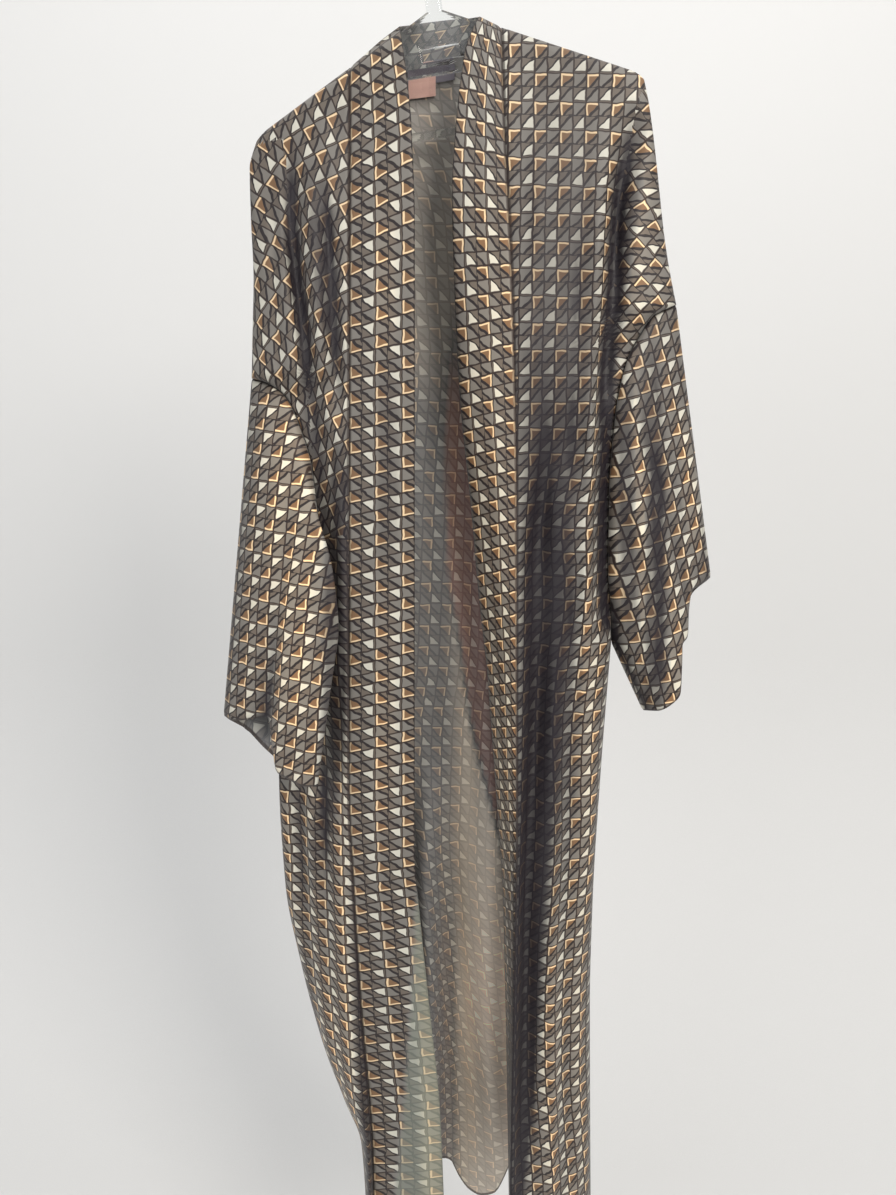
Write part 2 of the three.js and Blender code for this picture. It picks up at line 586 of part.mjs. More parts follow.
// A closed wall from a grid and its normals: two skins and the rims that join them. Rims that
// meet at a seam are split along the same diagonals.
function wallGeometry(points, normals, { outward = 1, tube = false, thick = WALL, lift = 0 }) {
  const rowCount = points.length;
  const columnCount = points[0].length;
  const positions = [];
  for (const side of [lift + thick / 2, lift - thick / 2]) {
    points.forEach((row, j) => row.forEach((point, i) => {
      positions.push(...point.clone().addScaledVector(normals[j][i], side).toArray());
    }));
  }
  const skin = rowCount * columnCount;
  const at = (j, i) => j * columnCount + (i % columnCount);
  const faces = [];
  const quad = (a, b, c, d) => {
    const ring = outward > 0 ? [a, b, c, d] : [a, d, c, b];
    faces.push(ring[0], ring[1], ring[2], ring[0], ring[2], ring[3]);
  };
  const spans = tube ? columnCount : columnCount - 1;
  for (let j = 0; j < rowCount - 1; j += 1) {
    for (let i = 0; i < spans; i += 1) {
      quad(at(j, i), at(j + 1, i), at(j + 1, i + 1), at(j, i + 1));
      quad(skin + at(j, i), skin + at(j, i + 1), skin + at(j + 1, i + 1), skin + at(j + 1, i));
    }
  }
  for (let i = 0; i < spans; i += 1) {
    const last = rowCount - 1;
    if (tube && i >= spans / 2) quad(at(0, i + 1), skin + at(0, i + 1), skin + at(0, i), at(0, i));
    else quad(at(0, i), at(0, i + 1), skin + at(0, i + 1), skin + at(0, i));
    quad(at(last, i + 1), at(last, i), skin + at(last, i), skin + at(last, i + 1));
  }
  for (let j = 0; j < rowCount - 1 && !tube; j += 1) {
    const last = columnCount - 1;
    quad(at(j, 0), skin + at(j, 0), skin + at(j + 1, 0), at(j + 1, 0));
    quad(at(j, last), at(j + 1, last), skin + at(j + 1, last), skin + at(j, last));
  }
  const geometry = new THREE.BufferGeometry();
  geometry.setAttribute('position', new THREE.Float32BufferAttribute(positions, 3));
  geometry.setIndex(faces);
  return geometry;
}

// The real place of a point of the tables, as the near eye sees it in the same direction
function inSight({ x, y, z }) {
  const across = ((x - SEEN.x) / (y + SEEN.from)) * SEEN.spread;
  const below = ((-z - SEEN.drop) / (y + SEEN.from)) * SEEN.spread;
  const reach = (y + EYE.distance) / (Math.cos(EYE.down) - below * Math.sin(EYE.down));
  return new THREE.Vector3(
    reach * across,
    y,
    -reach * (Math.sin(EYE.down) + below * Math.cos(EYE.down)),
  );
}

// The same, from the hanger's apex, which stays where it is
const apex = new THREE.Vector3(HANGER_APEX.x, 0, -HANGER_APEX.drop);
const toApex = apex.clone().sub(inSight(apex));
const realPlace = (point) => inSight(point).add(toApex).setY(point.y);

function toRealPlaces(geometry) {
  const places = geometry.getAttribute('position');
  const point = new THREE.Vector3();
  for (let i = 0; i < places.count; i += 1) {
    const real = realPlace(point.fromBufferAttribute(places, i));
    places.setXYZ(i, real.x, real.y, real.z);
  }
  return geometry;
}

const group = new THREE.Group();

function addPiece(name, geometry, colour, roughness = 0.6, metalness = 0) {
  const material = new THREE.MeshStandardMaterial({ color: colour, roughness, metalness });
  const mesh = new THREE.Mesh(geometry, material);
  mesh.name = name;
  group.add(mesh);
  return mesh;
}

const pieces = Object.entries(CLOTH).map(([name, piece]) => ({ name, ...piece, normals: gridNormals(piece) }));
shareNormals(pieces);
for (const piece of pieces) {
  const wall = wallGeometry(insetEdges(piece), piece.normals, piece);
  addPiece(piece.name, toRealPlaces(wall), piece.colour);
}

// Labels follow the inside of the back, moved in from its wall
function labelGeometry({ x, topDrop: tops, height, lift }) {
  const back = pieces.find((piece) => piece.name === 'back');
  const place = (across, down) => {
    const labelX = mix(x[0], x[1], across);
    const drop = mix(tops[0], tops[1], across) + down * height;
    return backSurfaceAt(back.points, labelX, drop);
  };
  const points = grid(even(3), even(4), place);
  const normals = points.map((row) => row.map(() => new THREE.Vector3(0, -1, 0)));
  return wallGeometry(points, normals, { outward: 1, thick: 0.8, lift });
}

// The point of the back's grid surface at a place seen from the front
function backSurfaceAt(points, x, drop) {
  for (let j = 0; j < points.length - 1; j += 1) {
    for (let i = 0; i < points[0].length - 1; i += 1) {
      const corners = [points[j][i], points[j][i + 1], points[j + 1][i + 1], points[j + 1][i]];
      const share = (x - corners[0].x) / (corners[1].x - corners[0].x);
      if (share < 0 || share > 1) continue;
      const upper = corners[0].clone().lerp(corners[1], share);
      const lower = corners[3].clone().lerp(corners[2], share);
      const down = (upper.z + drop) / (upper.z - lower.z);
      if (down >= -0.2 && down <= 1) return new THREE.Vector3(x, mix(upper.y, lower.y, down), -drop);
    }
  }
  return new THREE.Vector3(x, 30, -drop);
}

for (const label of LABELS) {
  const colour = label.name === 'size_label' ? COLOURS.sizeLabel : COLOURS.label;
  addPiece(label.name, toRealPlaces(labelGeometry(label)), colour, 0.8);
}

// Hanger: one moulded plate in its own frame, apex at the origin, then tilted
const BAR_DROP = 137;
const BAR_HEIGHT = 10;
const WEB_DROP = 74;
const POST = { half: 9, height: 16 };
const EDGE_ROUND = { across: 4.2, deep: 4.5 };

function hangerOutline() {
  const tip = { x: ARM_LENGTH * Math.cos(ARM_ANGLE), y: -ARM_LENGTH * Math.sin(ARM_ANGLE) };
  const barFoot = -BAR_DROP - BAR_HEIGHT / 2;
  const ear = 8;
  const outline = new THREE.Shape();
  outline.moveTo(-POST.half, POST.height);
  outline.lineTo(-POST.half, -POST.half * Math.tan(ARM_ANGLE));
  outline.lineTo(-tip.x, tip.y);
  outline.quadraticCurveTo(-tip.x - ear, tip.y - ear, -tip.x - ear / 2, tip.y - 2 * ear);
  outline.quadraticCurveTo(-tip.x + ear, barFoot, -tip.x + 4 * ear, barFoot);
  outline.lineTo(tip.x - 4 * ear, barFoot);
  outline.quadraticCurveTo(tip.x - ear, barFoot, tip.x + ear / 2, tip.y - 2 * ear);
  outline.quadraticCurveTo(tip.x + ear, tip.y - ear, tip.x, tip.y);
  outline.lineTo(POST.half, -POST.half * Math.tan(ARM_ANGLE));
  outline.lineTo(POST.half, POST.height);
  outline.closePath();
  return { outline, tip };
}

function hangerBody() {
  const { outline, tip } = hangerOutline();
  const barTop = -BAR_DROP + BAR_HEIGHT / 2;
  const inset = 26;
  const farX = tip.x - inset;
  const farY = -farX * Math.tan(ARM_ANGLE) - ARM_HEIGHT / Math.cos(ARM_ANGLE);
  const webX = (WEB_DROP - ARM_HEIGHT / Math.cos(ARM_ANGLE)) / Math.tan(ARM_ANGLE);
  const opening = new THREE.Path();
  opening.moveTo(-farX, farY);
  opening.lineTo(-webX, -WEB_DROP);
  opening.lineTo(webX, -WEB_DROP);
  opening.lineTo(farX, farY);
  opening.quadraticCurveTo(farX + 8, barTop, farX - 12, barTop);
  opening.lineTo(-farX + 12, barTop);
  opening.quadraticCurveTo(-farX - 8, barTop, -farX, farY);
  const slot = new THREE.Path();
  slot.moveTo(-20, -44);
  slot.lineTo(-20, -57);
  slot.lineTo(20, -57);
  slot.lineTo(20, -44);
  slot.closePath();
  outline.holes.push(opening, slot);
  const geometry = new THREE.ExtrudeGeometry(outline, {
    depth: HANGER_THICK - 2 * EDGE_ROUND.deep,
    bevelThickness: EDGE_ROUND.deep,
    bevelSize: EDGE_ROUND.across,
    bevelOffset: -EDGE_ROUND.across,
    bevelSegments: 3,
    curveSegments: 5,
  });
  geometry.translate(0, 0, -(HANGER_THICK - 2 * EDGE_ROUND.deep) / 2);
  geometry.rotateX(Math.PI / 2);
  geometry.rotateY(-HANGER_TILT);
  geometry.translate(apex.x, apex.y, apex.z);
  geometry.deleteAttribute('normal');
  geometry.deleteAttribute('uv');
  return toRealPlaces(mergeVertices(geometry, 1e-4));
}

addPiece('hanger_body', hangerBody(), COLOURS.hanger, 0.2);

// Hook: a wire of round section, straight out of the post and round over the rod
const WIRE = 3.4;
const HOOK_RADIUS = 20;

function hangerHook() {
  const postTop = new THREE.Vector3(0, 0, POST.height).applyAxisAngle(new THREE.Vector3(0, 1, 0), -HANGER_TILT);
  const foot = realPlace(postTop.add(apex)).setY(0);
  foot.z += 0.7;
  const centre = new THREE.Vector3(0, 0, -HOOK_RADIUS);
  const route = [foot, foot.clone().lerp(new THREE.Vector3(2, 0, -56), 0.5), new THREE.Vector3(2, 0, -56)];
  const bend = HOOK_RADIUS + WIRE / 2;
  for (const degrees of [-40, -10, 20, 50, 80, 110, 140, 170, 195]) {
    const angle = THREE.MathUtils.degToRad(degrees);
    route.push(centre.clone().add(new THREE.Vector3(bend * Math.cos(angle), 0, bend * Math.sin(angle))));
  }
  const path = new THREE.CatmullRomCurve3(route);
  const section = new THREE.Shape();
  section.absarc(0, 0, WIRE / 2, 0, 2 * Math.PI);
  const geometry = new THREE.ExtrudeGeometry(section, { steps: 36, curveSegments: 5, extrudePath: path });
  geometry.deleteAttribute('normal');
  geometry.deleteAttribute('uv');
  return mergeVertices(geometry, 1e-4);
}

addPiece('hanger_hook', hangerHook(), COLOURS.hook, 0.25, 1);

export default group;
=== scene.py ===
import json
import math
from bisect import bisect_left

import bmesh
import bpy
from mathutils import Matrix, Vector

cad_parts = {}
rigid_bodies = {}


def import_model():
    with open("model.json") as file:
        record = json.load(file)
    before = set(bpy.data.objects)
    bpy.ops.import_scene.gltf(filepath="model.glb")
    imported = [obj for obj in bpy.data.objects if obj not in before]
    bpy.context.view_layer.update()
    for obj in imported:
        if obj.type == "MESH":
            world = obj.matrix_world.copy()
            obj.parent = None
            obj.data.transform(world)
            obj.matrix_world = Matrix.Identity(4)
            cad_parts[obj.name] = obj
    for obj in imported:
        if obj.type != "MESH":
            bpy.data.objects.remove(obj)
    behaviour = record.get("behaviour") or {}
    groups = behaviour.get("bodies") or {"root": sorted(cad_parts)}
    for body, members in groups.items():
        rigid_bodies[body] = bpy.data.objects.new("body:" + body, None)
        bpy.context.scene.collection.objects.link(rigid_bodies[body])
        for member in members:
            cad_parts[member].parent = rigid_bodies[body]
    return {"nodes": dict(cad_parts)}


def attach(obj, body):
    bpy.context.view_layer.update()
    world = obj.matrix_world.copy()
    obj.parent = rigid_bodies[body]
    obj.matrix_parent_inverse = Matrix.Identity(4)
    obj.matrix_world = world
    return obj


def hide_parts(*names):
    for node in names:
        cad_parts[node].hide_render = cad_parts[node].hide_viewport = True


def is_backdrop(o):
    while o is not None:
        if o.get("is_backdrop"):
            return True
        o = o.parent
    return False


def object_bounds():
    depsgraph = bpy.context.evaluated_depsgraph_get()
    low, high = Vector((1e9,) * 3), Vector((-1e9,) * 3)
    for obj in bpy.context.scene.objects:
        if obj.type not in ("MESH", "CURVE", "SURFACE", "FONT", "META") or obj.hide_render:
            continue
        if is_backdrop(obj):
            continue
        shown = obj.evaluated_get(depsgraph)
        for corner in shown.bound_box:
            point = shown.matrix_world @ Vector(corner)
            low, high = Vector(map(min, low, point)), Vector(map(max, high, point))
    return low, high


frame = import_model()
cad_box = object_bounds()

MM = 0.001
CLOTH_THICK = 0.7
BAND_WIDTH = 68
HANGER_APEX = (4.4, 99.6)
HANGER_TILT = math.radians(9.25)
ARM_ANGLE = math.radians(27.5)
SHOULDER_RADIUS = 11
SHOULDER_REST = 1.7
SEAM_SINK = 1.0
SEAM_SLOPE = 5
FAR_FROM_EDGE = 99.0
EDGE_SEARCH = 40


# Small mathematics
def clamp(value, low, high):
    return min(max(value, low), high)


def mix(start, end, share):
    return start + (end - start) * share


def ease(value):
    share = clamp(value, 0, 1)
    return share * share * (3 - 2 * share)


def even(count, start=0, end=1):
    return [mix(start, end, i / count) for i in range(count + 1)]


class Track:
    """A smooth curve through rows of (place, value), which never passes beyond its rows."""

    def __init__(self, rows):
        self.at = [row[0] for row in rows]
        self.value = [row[1] for row in rows]
        pairs = list(zip(self.at, self.value))
        rise = [(b[1] - a[1]) / (b[0] - a[0]) for a, b in zip(pairs, pairs[1:])]
        self.slope = [rise[0]]
        for before, after in zip(rise, rise[1:]):
            level = before * after <= 0
            self.slope.append(0 if level else 2 * before * after / (before + after))
        self.slope.append(rise[-1])

    def __call__(self, where):
        place = clamp(where, self.at[0], self.at[-1])
        i = int(clamp(bisect_left(self.at, place) - 1, 0, len(self.at) - 2))
        width = self.at[i + 1] - self.at[i]
        t = (place - self.at[i]) / width
        straight = self.value[i] + (self.value[i + 1] - self.value[i]) * (3 - 2 * t) * t * t
        return straight + t * (1 - t) * width * (self.slope[i] * (1 - t) - self.slope[i + 1] * t)


def tracks(columns, rows):
    """One curve for each named column of a table, against its first column."""
    names = columns.split()
    return {
        name: Track([(row[0], row[n]) for row in rows])
        for n, name in enumerate(names)
        if n > 0
    }


# Cloth levels: 0 is the shoulder line, 1 the top of the armholes, 2 the underarms, 3 the hem
LEVELS = {1: (470.4, -0.1732), 2: (834.4, -0.2254), 3: (1433.5, -0.1)}
YOKE_ROWS = [0, 0.004, 0.016, 0.036, 0.08, 0.16, 0.27, 0.4, 0.55, 0.7, 0.85]
ARMHOLE_ROWS = [1, 1.02, 1.07, 1.15, 1.26, 1.38, 1.5, 1.62, 1.74, 1.86, 1.94, 2]
SKIRT_ROWS = [2.07, 2.16, 2.25, 2.34, 2.43, 2.52, 2.61, 2.7, 2.79, 2.88, 2.95, 3]

# The tables give places as a far, level eye sees them. The robe was looked at from near by, by an
# eye at chest height that was turned down, so what hangs lower is larger than it seems.
SEEN_FROM, SEEN_X, SEEN_DROP, SEEN_SPREAD = 2500, 19.6, 743, 2.5535
EYE_DISTANCE = 1032
EYE_DOWN = math.radians(13.3)
LENS = 27.05


def in_sight(x, y, drop):
    """The real place of a point of the tables, in the same direction from the near eye."""
    across = (x - SEEN_X) / (y + SEEN_FROM) * SEEN_SPREAD
    below = (drop - SEEN_DROP) / (y + SEEN_FROM) * SEEN_SPREAD
    reach = (y + EYE_DISTANCE) / (math.cos(EYE_DOWN) - below * math.sin(EYE_DOWN))
    return reach * across, reach * (math.sin(EYE_DOWN) + below * math.cos(EYE_DOWN))


EYE_X, EYE_DROP = (a - b for a, b in zip(HANGER_APEX, in_sight(HANGER_APEX[0], 0, HANGER_APEX[1])))


def real_place(x, y, drop):
    """The same, counted from the hanger's apex, which stays where it is."""
    real_x, real_drop = in_sight(x, y, drop)
    return real_x + EYE_X, y, real_drop + EYE_DROP


# How far the cloth stands forward and back of the hanger's plane, by depth below the shoulder
STAND_OFF = tracks("below front back", [
    (0, 0, 0), (40, 3, 4), (100, 9, 10), (200, 18, 19), (350, 27, 30), (600, 35, 40),
    (900, 39, 50), (1320, 42, 66),
])

# Edges of the opening: the free edge of each band, and its seam
OPENING = {
    "right": {
        "edge": tracks("level x", [
            (0, 54), (0.13, 38), (0.4, 27), (0.56, 24), (0.87, 27), (1.18, 33), (1.48, 44),
            (1.79, 54), (2.06, 65), (2.24, 73), (2.42, 80), (3, 87),
        ])["x"],
        "seam": tracks("level x", [(0, 78), (0.25, 80), (0.9, 89), (1.5, 93), (2.25, 93), (3, 85)])["x"],
    },
    "left": {
        "edge": tracks("level x", [
            (0, -33), (0.2, -24), (0.33, -20), (0.66, -16), (2.3, -16), (2.4, -11), (2.58, 0),
            (2.76, 11), (3, 17),
        ])["x"],
        "seam": tracks("level x", [
            (0, -87), (2.15, -87), (2.34, -82), (2.56, -74), (2.82, -62), (3, -60),
        ])["x"],
    },
}

# Outer edges of the body: the fold past the hanger's tips, and the side seams below the armholes
OUTLINE = {
    "right": {
        "yoke": tracks("level x y", [
            (0, 233, 0), (0.08, 238, 0), (0.26, 245, 0), (0.67, 256, 0), (1, 268, 0),
        ]),
        "skirt": tracks("level x y", [
            (2, 197, 0), (2.24, 185, 2), (2.45, 177, 4), (2.63, 174, 4), (3, 175, 6),
        ]),
    },
    "left": {
        "yoke": tracks("level x y", [
            (0, -189, 0), (0.06, -196, 0), (0.28, -195, 0), (0.58, -192, 0), (0.79, -193, 0),
            (1, -194, 0),
        ]),
        "skirt": tracks("level x y", [
            (2, -158, 2), (2.09, -165, 5), (2.32, -158, 11), (2.47, -142, 19), (2.62, -120, 31),
            (2.74, -95, 45), (2.82, -76, 54), (3, -68, 60),
        ]),
    },
}

# Armhole seams, from the outer fold (level 1) to the underarm (level 2), front and back
ARMHOLES = {
    "right": tracks("level front_x front_y back_x back_y", [
        (1, 268, 0, 268, 0), (1.02, 244, -5, 257, 5), (1.07, 229, -9, 245, 9),
        (1.15, 213, -11, 232, 12), (1.3, 201, -11, 217, 15), (1.54, 194, -9, 207, 15),
        (1.78, 193, -8, 202, 12), (1.92, 196.5, -6, 200, 7), (2, 197, 0, 197, 0),
    ]),
    "left": tracks("level front_x front_y back_x back_y", [
        (1, -194, 0, -194, 0), (1.02, -178, -6, -186, 5), (1.07, -157, -10, -175, 10),
        (1.15, -143, -13, -165, 14), (1.3, -127, -16, -156, 17), (1.54, -119, -18, -152, 19),
        (1.78, -126, -16, -154, 18), (1.92, -142, -10, -156.5, 12), (2, -158, 2, -158, 2),
    ]),
}
ARMHOLE_DIP = {"right": (0.28, 2), "left": (1, 2.2), "back": (0.3, 2)}

# Sleeve hems, once round: from the outer fold (0) along the front to the underarm fold (1) and
# back behind (2)
SLEEVE_HEMS = {
    "right": tracks("round x drop y", [
        (0, 306, 721, 0), (0.12, 295, 729, -9), (0.22, 284, 737, -15), (0.34, 281, 760, -20),
        (0.44, 279, 785, -24), (0.53, 273, 795, -29), (0.63, 272, 820, -33), (0.73, 270, 846, -34),
        (0.83, 260, 859, -31), (0.92, 245, 866, -20), (1, 232, 866, -2), (1.15, 240, 862, 13),
        (1.4, 257, 846, 19), (1.6, 267, 815, 18), (1.76, 276, 776, 15), (1.9, 286, 740, 10),
        (2, 306, 721, 0),
    ]),
    "left": tracks("round x drop y", [
        (0, -225, 872, 2), (0.1, -214, 877, -14), (0.2, -197, 875, -24), (0.28, -176, 872, -32),
        (0.34, -170, 900, -44), (0.41, -164, 929, -52), (0.49, -148, 938, -62), (0.58, -132, 944, -69),
        (0.66, -119, 944, -66), (0.76, -131, 940, -57), (0.88, -158, 920, -46), (1, -184, 900, -24),
        (1.2, -196, 889, -10), (1.5, -206, 883, 8), (1.8, -220, 876, 12), (2, -225, 872, 2),
    ]),
}
SLEEVE_FULLNESS = {"right": (17, 12, 0), "left": (26, 10, 30)}

# How far the back's hem hangs above the level of the fronts' hems, across the robe
BACK_HEM_RISE = Track([
    (-68, 0), (4, 58), (11, 64), (22, 58), (31, 38), (44, 21), (58, 14),
    (72, 17), (81, 30), (88, 44), (100, 52), (130, 38), (175, 0),
])

# Folds and creases. A trough has a positive depth and a ridge a negative one; x follows the
# level. Rows: from, to, x at the start, middle and end, depth, half width.
FOLDS = {
    "front_right": [
        (0.1, 1.45, 224, 200, 190, 26, 12), (1.15, 3.1, 127, 112, 91, 19, 14),
        (0.25, 1.7, 170, 158, 152, 5, 13), (1.5, 3.1, 160, 150, 148, 8, 12),
        (0.2, 1.3, 120, 114, 106, -3, 7), (0.5, 1.6, 186, 178, 172, -4, 7),
        (1.1, 2.3, 176, 170, 166, -4, 6), (1.9, 3.1, 134, 131, 130, -5, 7),
        (2.3, 3.2, 170, 166, 164, 4, 5),
    ],
    "front_left": [
        (0.05, 1.4, -157, -142, -121, 17, 10), (0.3, 1.25, -116, -106, -96, 10, 8),
        (1.75, 2.75, -146, -140, -112, 14, 11), (1.9, 2.8, -118, -112, -90, 9, 8),
        (1.2, 2.7, -130, -138, -140, 19, 34), (0.1, 1.2, -176, -168, -160, 5, 6),
        (0.15, 1.1, -134, -126, -116, -4, 6), (2.0, 2.9, -132, -124, -100, -4, 6),
    ],
    "back": [
        (0.12, 1.5, 215, 196, 178, 22, 16), (0.12, 1.5, -160, -140, -118, 20, 15),
        (0.9, 3.2, 118, 126, 128, 22, 17), (0.6, 3.2, 40, 62, 70, 17, 16),
        (2.1, 3.4, -4, -2, 0, 44, 15), (1, 2.7, -70, -62, -48, 18, 17),
        (0.4, 2.2, 92, 94, 96, 5, 9), (0.3, 1.8, -28, -20, -24, 5, 10),
        (0.2, 1.9, 12, 22, 30, -4, 9), (1.9, 3.2, 90, 96, 98, -5, 8),
        (2.2, 3.2, 30, 34, 36, -6, 8), (1.6, 3.0, 148, 146, 144, 6, 8),
    ],
}
# Rows: place round the sleeve, from, to (shares of its length), depth, half width round it
SLEEVE_FOLDS = {
    "right": [
        (0.3, 0.15, 1.1, 9, 0.07), (0.62, 0.05, 0.9, 7, 0.08), (1.45, 0.1, 1.1, 7, 0.1),
        (0.16, 0.0, 0.7, 4, 0.04), (0.47, 0.4, 1.2, 4, 0.05), (0.78, 0.2, 1.1, 4, 0.05),
        (1.7, 0.2, 1.1, 4, 0.06), (1.2, 0.1, 0.9, 4, 0.06),
    ],
    "left": [
        (0.3, 0.1, 1.1, 12, 0.06), (0.47, 0.3, 1.1, 6, 0.06), (1.55, 0.1, 1.1, 7, 0.1),
        (0.14, 0.2, 1.1, 4, 0.04), (0.6, 0.05, 0.8, 4, 0.04), (1.3, 0.1, 1.0, 4, 0.06),
    ],
}


def beside_armhole(level, end=2):
    return ease((level - 1) / 0.1) * ease((end - level) / 0.1)


def column_place(share, level):
    rounded = math.sin(share * math.pi / 2) ** 0.9
    return mix(rounded, share, beside_armhole(level))


def shoulder_drop(x):
    angle = ARM_ANGLE - HANGER_TILT if x > HANGER_APEX[0] else ARM_ANGLE + HANGER_TILT
    run = abs(x - HANGER_APEX[0])
    return HANGER_APEX[1] + run * math.tan(angle) - SHOULDER_REST / math.cos(angle)


def top_drop(x):
    collar = min(clamp((x + 87) / 54, 0, 1) * 8, clamp((78 - x) / 24, 0, 1.2) * 4)
    past_tip = max(x - 214, -171 - x, 0) / 19
    return shoulder_drop(x) - collar + 7 * past_tip * past_tip


def level_drop(level, x, top):
    if level <= 1:
        return mix(top, LEVELS[1][0] + LEVELS[1][1] * x, level)
    upper = 1 if level <= 2 else 2
    high = LEVELS[upper][0] + LEVELS[upper][1] * x
    low = LEVELS[upper + 1][0] + LEVELS[upper + 1][1] * x
    return mix(high, low, level - upper)


def stand_off(below, face):
    arc = 1 - clamp(below / SHOULDER_RADIUS, 0, 1)
    return SHOULDER_RADIUS * math.sqrt(1 - arc * arc) + STAND_OFF[face](max(below, 0))


def fold_depth(folds, x, level):
    """Combined depth of a panel's folds at a place, each one soft and a little uneven."""
    total = 0.0
    for n, (start, end, x_from, x_mid, x_to, depth, half) in enumerate(folds):
        run = (level - start) / (end - start)
        if not 0 < run < 1:
            continue
        centre = mix(x_from, x_mid, run * 2) if run < 0.5 else mix(x_mid, x_to, run * 2 - 1)
        sway = 0.16 * half * math.sin(9 * level + 2.1 * n)
        width = half * (1 + 0.16 * math.sin(7 * level + 1.3 * n))
        reach = (x - centre - sway) / width
        uneven = 1 + 0.14 * math.sin(12 * level + 1.7 * n)
        total += depth * uneven * math.exp(-reach * reach) * ease(run / 0.3) * ease((1 - run) / 0.2)
    return total


def crumple(x, drop, seed):
    """The light unevenness of hanging crepe, about a millimetre."""
    broad = math.sin(0.031 * x + 0.011 * drop + seed) * math.sin(0.017 * drop - 0.043 * x + 2 * seed)
    small = math.sin(0.11 * x + 0.035 * drop + 3 * seed) * math.sin(0.05 * drop - 0.07 * x + seed)
    return 1.2 * broad + 0.4 * small


def outer_edge(side, face, level):
    if level <= 1:
        yoke = OUTLINE[side]["yoke"]
        return yoke["x"](level), yoke["y"](level)
    if level >= 2:
        skirt = OUTLINE[side]["skirt"]
        return skirt["x"](level), skirt["y"](level)
    hole = ARMHOLES[side]
    return hole[face + "_x"](level), hole[face + "_y"](level)


def section_share(across, level, dip, end):
    power = mix(6, 2.6, ease(level / 0.35))
    rounded = (1 - clamp(across, 0, 1) ** power) ** (1 / power)
    return mix(rounded, ease((1 - across) / dip), beside_armhole(level, end))


def band_seam(side, level):
    x = OPENING[side]["seam"](level)
    drop = level_drop(level, x, top_drop(x))
    below = drop - shoulder_drop(x)
    sunk = mix(5, 12, ease(level - 2)) if side == "left" else -3
    return x, -stand_off(below, "front") + sunk * ease(below / 60), drop


def front_point(side, column, level):
    seam_x, seam_y, _ = band_seam(side, level)
    edge_x, edge_y = outer_edge(side, "front", level)
    across = column_place(column, level)
    x = mix(seam_x, edge_x, across)
    drop = level_drop(level, x, top_drop(x))
    below = drop - shoulder_drop(x)
    share = section_share(across, level, *ARMHOLE_DIP[side])
    face = mix(seam_y, -stand_off(below, "front"), ease(across / 0.3))
    folds = fold_depth(FOLDS["front_" + side], x, level) + crumple(x, drop, 1.0 + len(side))
    room = min(share, ease(across / 0.12)) * ease(below / 50)
    return x, edge_y * (1 - share) + face * share + folds * room, drop


def neck_curve(x):
    left_x, _, left_drop = band_seam("left", 0)
    right_x, _, right_drop = band_seam("right", 0)
    share = clamp((x - left_x) / (right_x - left_x), 0, 1)
    bow = 2 * math.sqrt(share * (1 - share))
    return bow, mix(left_drop, right_drop, share) + 20 * bow * bow - top_drop(x)


def back_x(column, level):
    left = outer_edge("left", "back", level)[0]
    right = outer_edge("right", "back", level)[0]
    spread = ease(level / 0.6)
    neck_left = mix(OPENING["left"]["seam"](0), mix(left, right, 0.27), spread)
    neck_right = mix(OPENING["right"]["seam"](0), mix(left, right, 0.73), spread)
    if column <= 1:
        return mix(neck_left, left, column_place(1 - column, level))
    if column >= 2:
        return mix(neck_right, right, column_place(column - 2, level))
    rounded = 0.5 - 0.5 * math.cos(math.pi * (column - 1))
    return mix(neck_left, neck_right, mix(rounded, column - 1, spread))


def back_point(column, level):
    """Back: columns run from the left edge (0) to the neck (1 to 2) and the right edge (3)."""
    left_x, left_y = outer_edge("left", "back", level)
    right_x, right_y = outer_edge("right", "back", level)
    middle = mix(-2, (left_x + right_x) / 2, ease(level / 0.6))
    x = back_x(column, level)
    side_x, side_y = (left_x, left_y) if x < middle else (right_x, right_y)
    reach = (x - middle) / (side_x - middle)
    bow, sag = neck_curve(back_x(column, 0)) if 1 < column < 2 else (0, 0)
    rise = BACK_HEM_RISE(x) * clamp(level - 2, 0, 1)
    drop = level_drop(level, x, top_drop(x) + sag) - rise
    below = drop - shoulder_drop(x)
    share = section_share(reach, level, *ARMHOLE_DIP["back"])
    face = stand_off(below, "back") + 16 * bow * (1 - ease(level / 0.3))
    folds = (fold_depth(FOLDS["back"], x, level) + crumple(x, drop, 4.0)) * ease(below / 50)
    centre_y = mix(side_y, (left_y + right_y) / 2, ease(1 - reach))
    return x, centre_y * (1 - share) + (face - folds) * share, drop


def band_point(side, across, level):
    seam_x, seam_y, _ = band_seam(side, level)
    x = mix(seam_x, OPENING[side]["edge"](level), across)
    drop = level_drop(level, x, top_drop(x))
    wave = 0.5 * crumple(x, drop, 7.0) * ease(level / 0.1) * across
    if side == "left":
        flat = -stand_off(drop - shoulder_drop(x), "front") - 3 * ease(level / 0.2)
        return x, mix(seam_y, flat, ease(across * 1.4)) + wave, drop
    spread = seam_x - OPENING["right"]["edge"](level)
    turn = math.sqrt(max(BAND_WIDTH * BAND_WIDTH - spread * spread, 0))
    inward = turn * ease((level - 0.45) / 0.6)
    return x, seam_y + inward * (0.35 * across + 0.65 * across * across) + wave, drop


def neck_band_point(round_, across):
    if round_ <= 0:
        return band_point("left", across, 0)
    if round_ >= 1:
        return band_point("right", across, 0)
    bow = math.sin(math.pi * round_)
    place = 0.5 - 0.5 * math.cos(math.pi * round_)
    ends = zip(band_point("left", 1, 0), band_point("right", 1, 0))
    top = [mix(a, b, place) for a, b in ends]
    top[1] += 40 * bow
    top[2] -= 10 * bow
    return tuple(mix(a, b, across) for a, b in zip(back_point(1 + round_, 0), top))


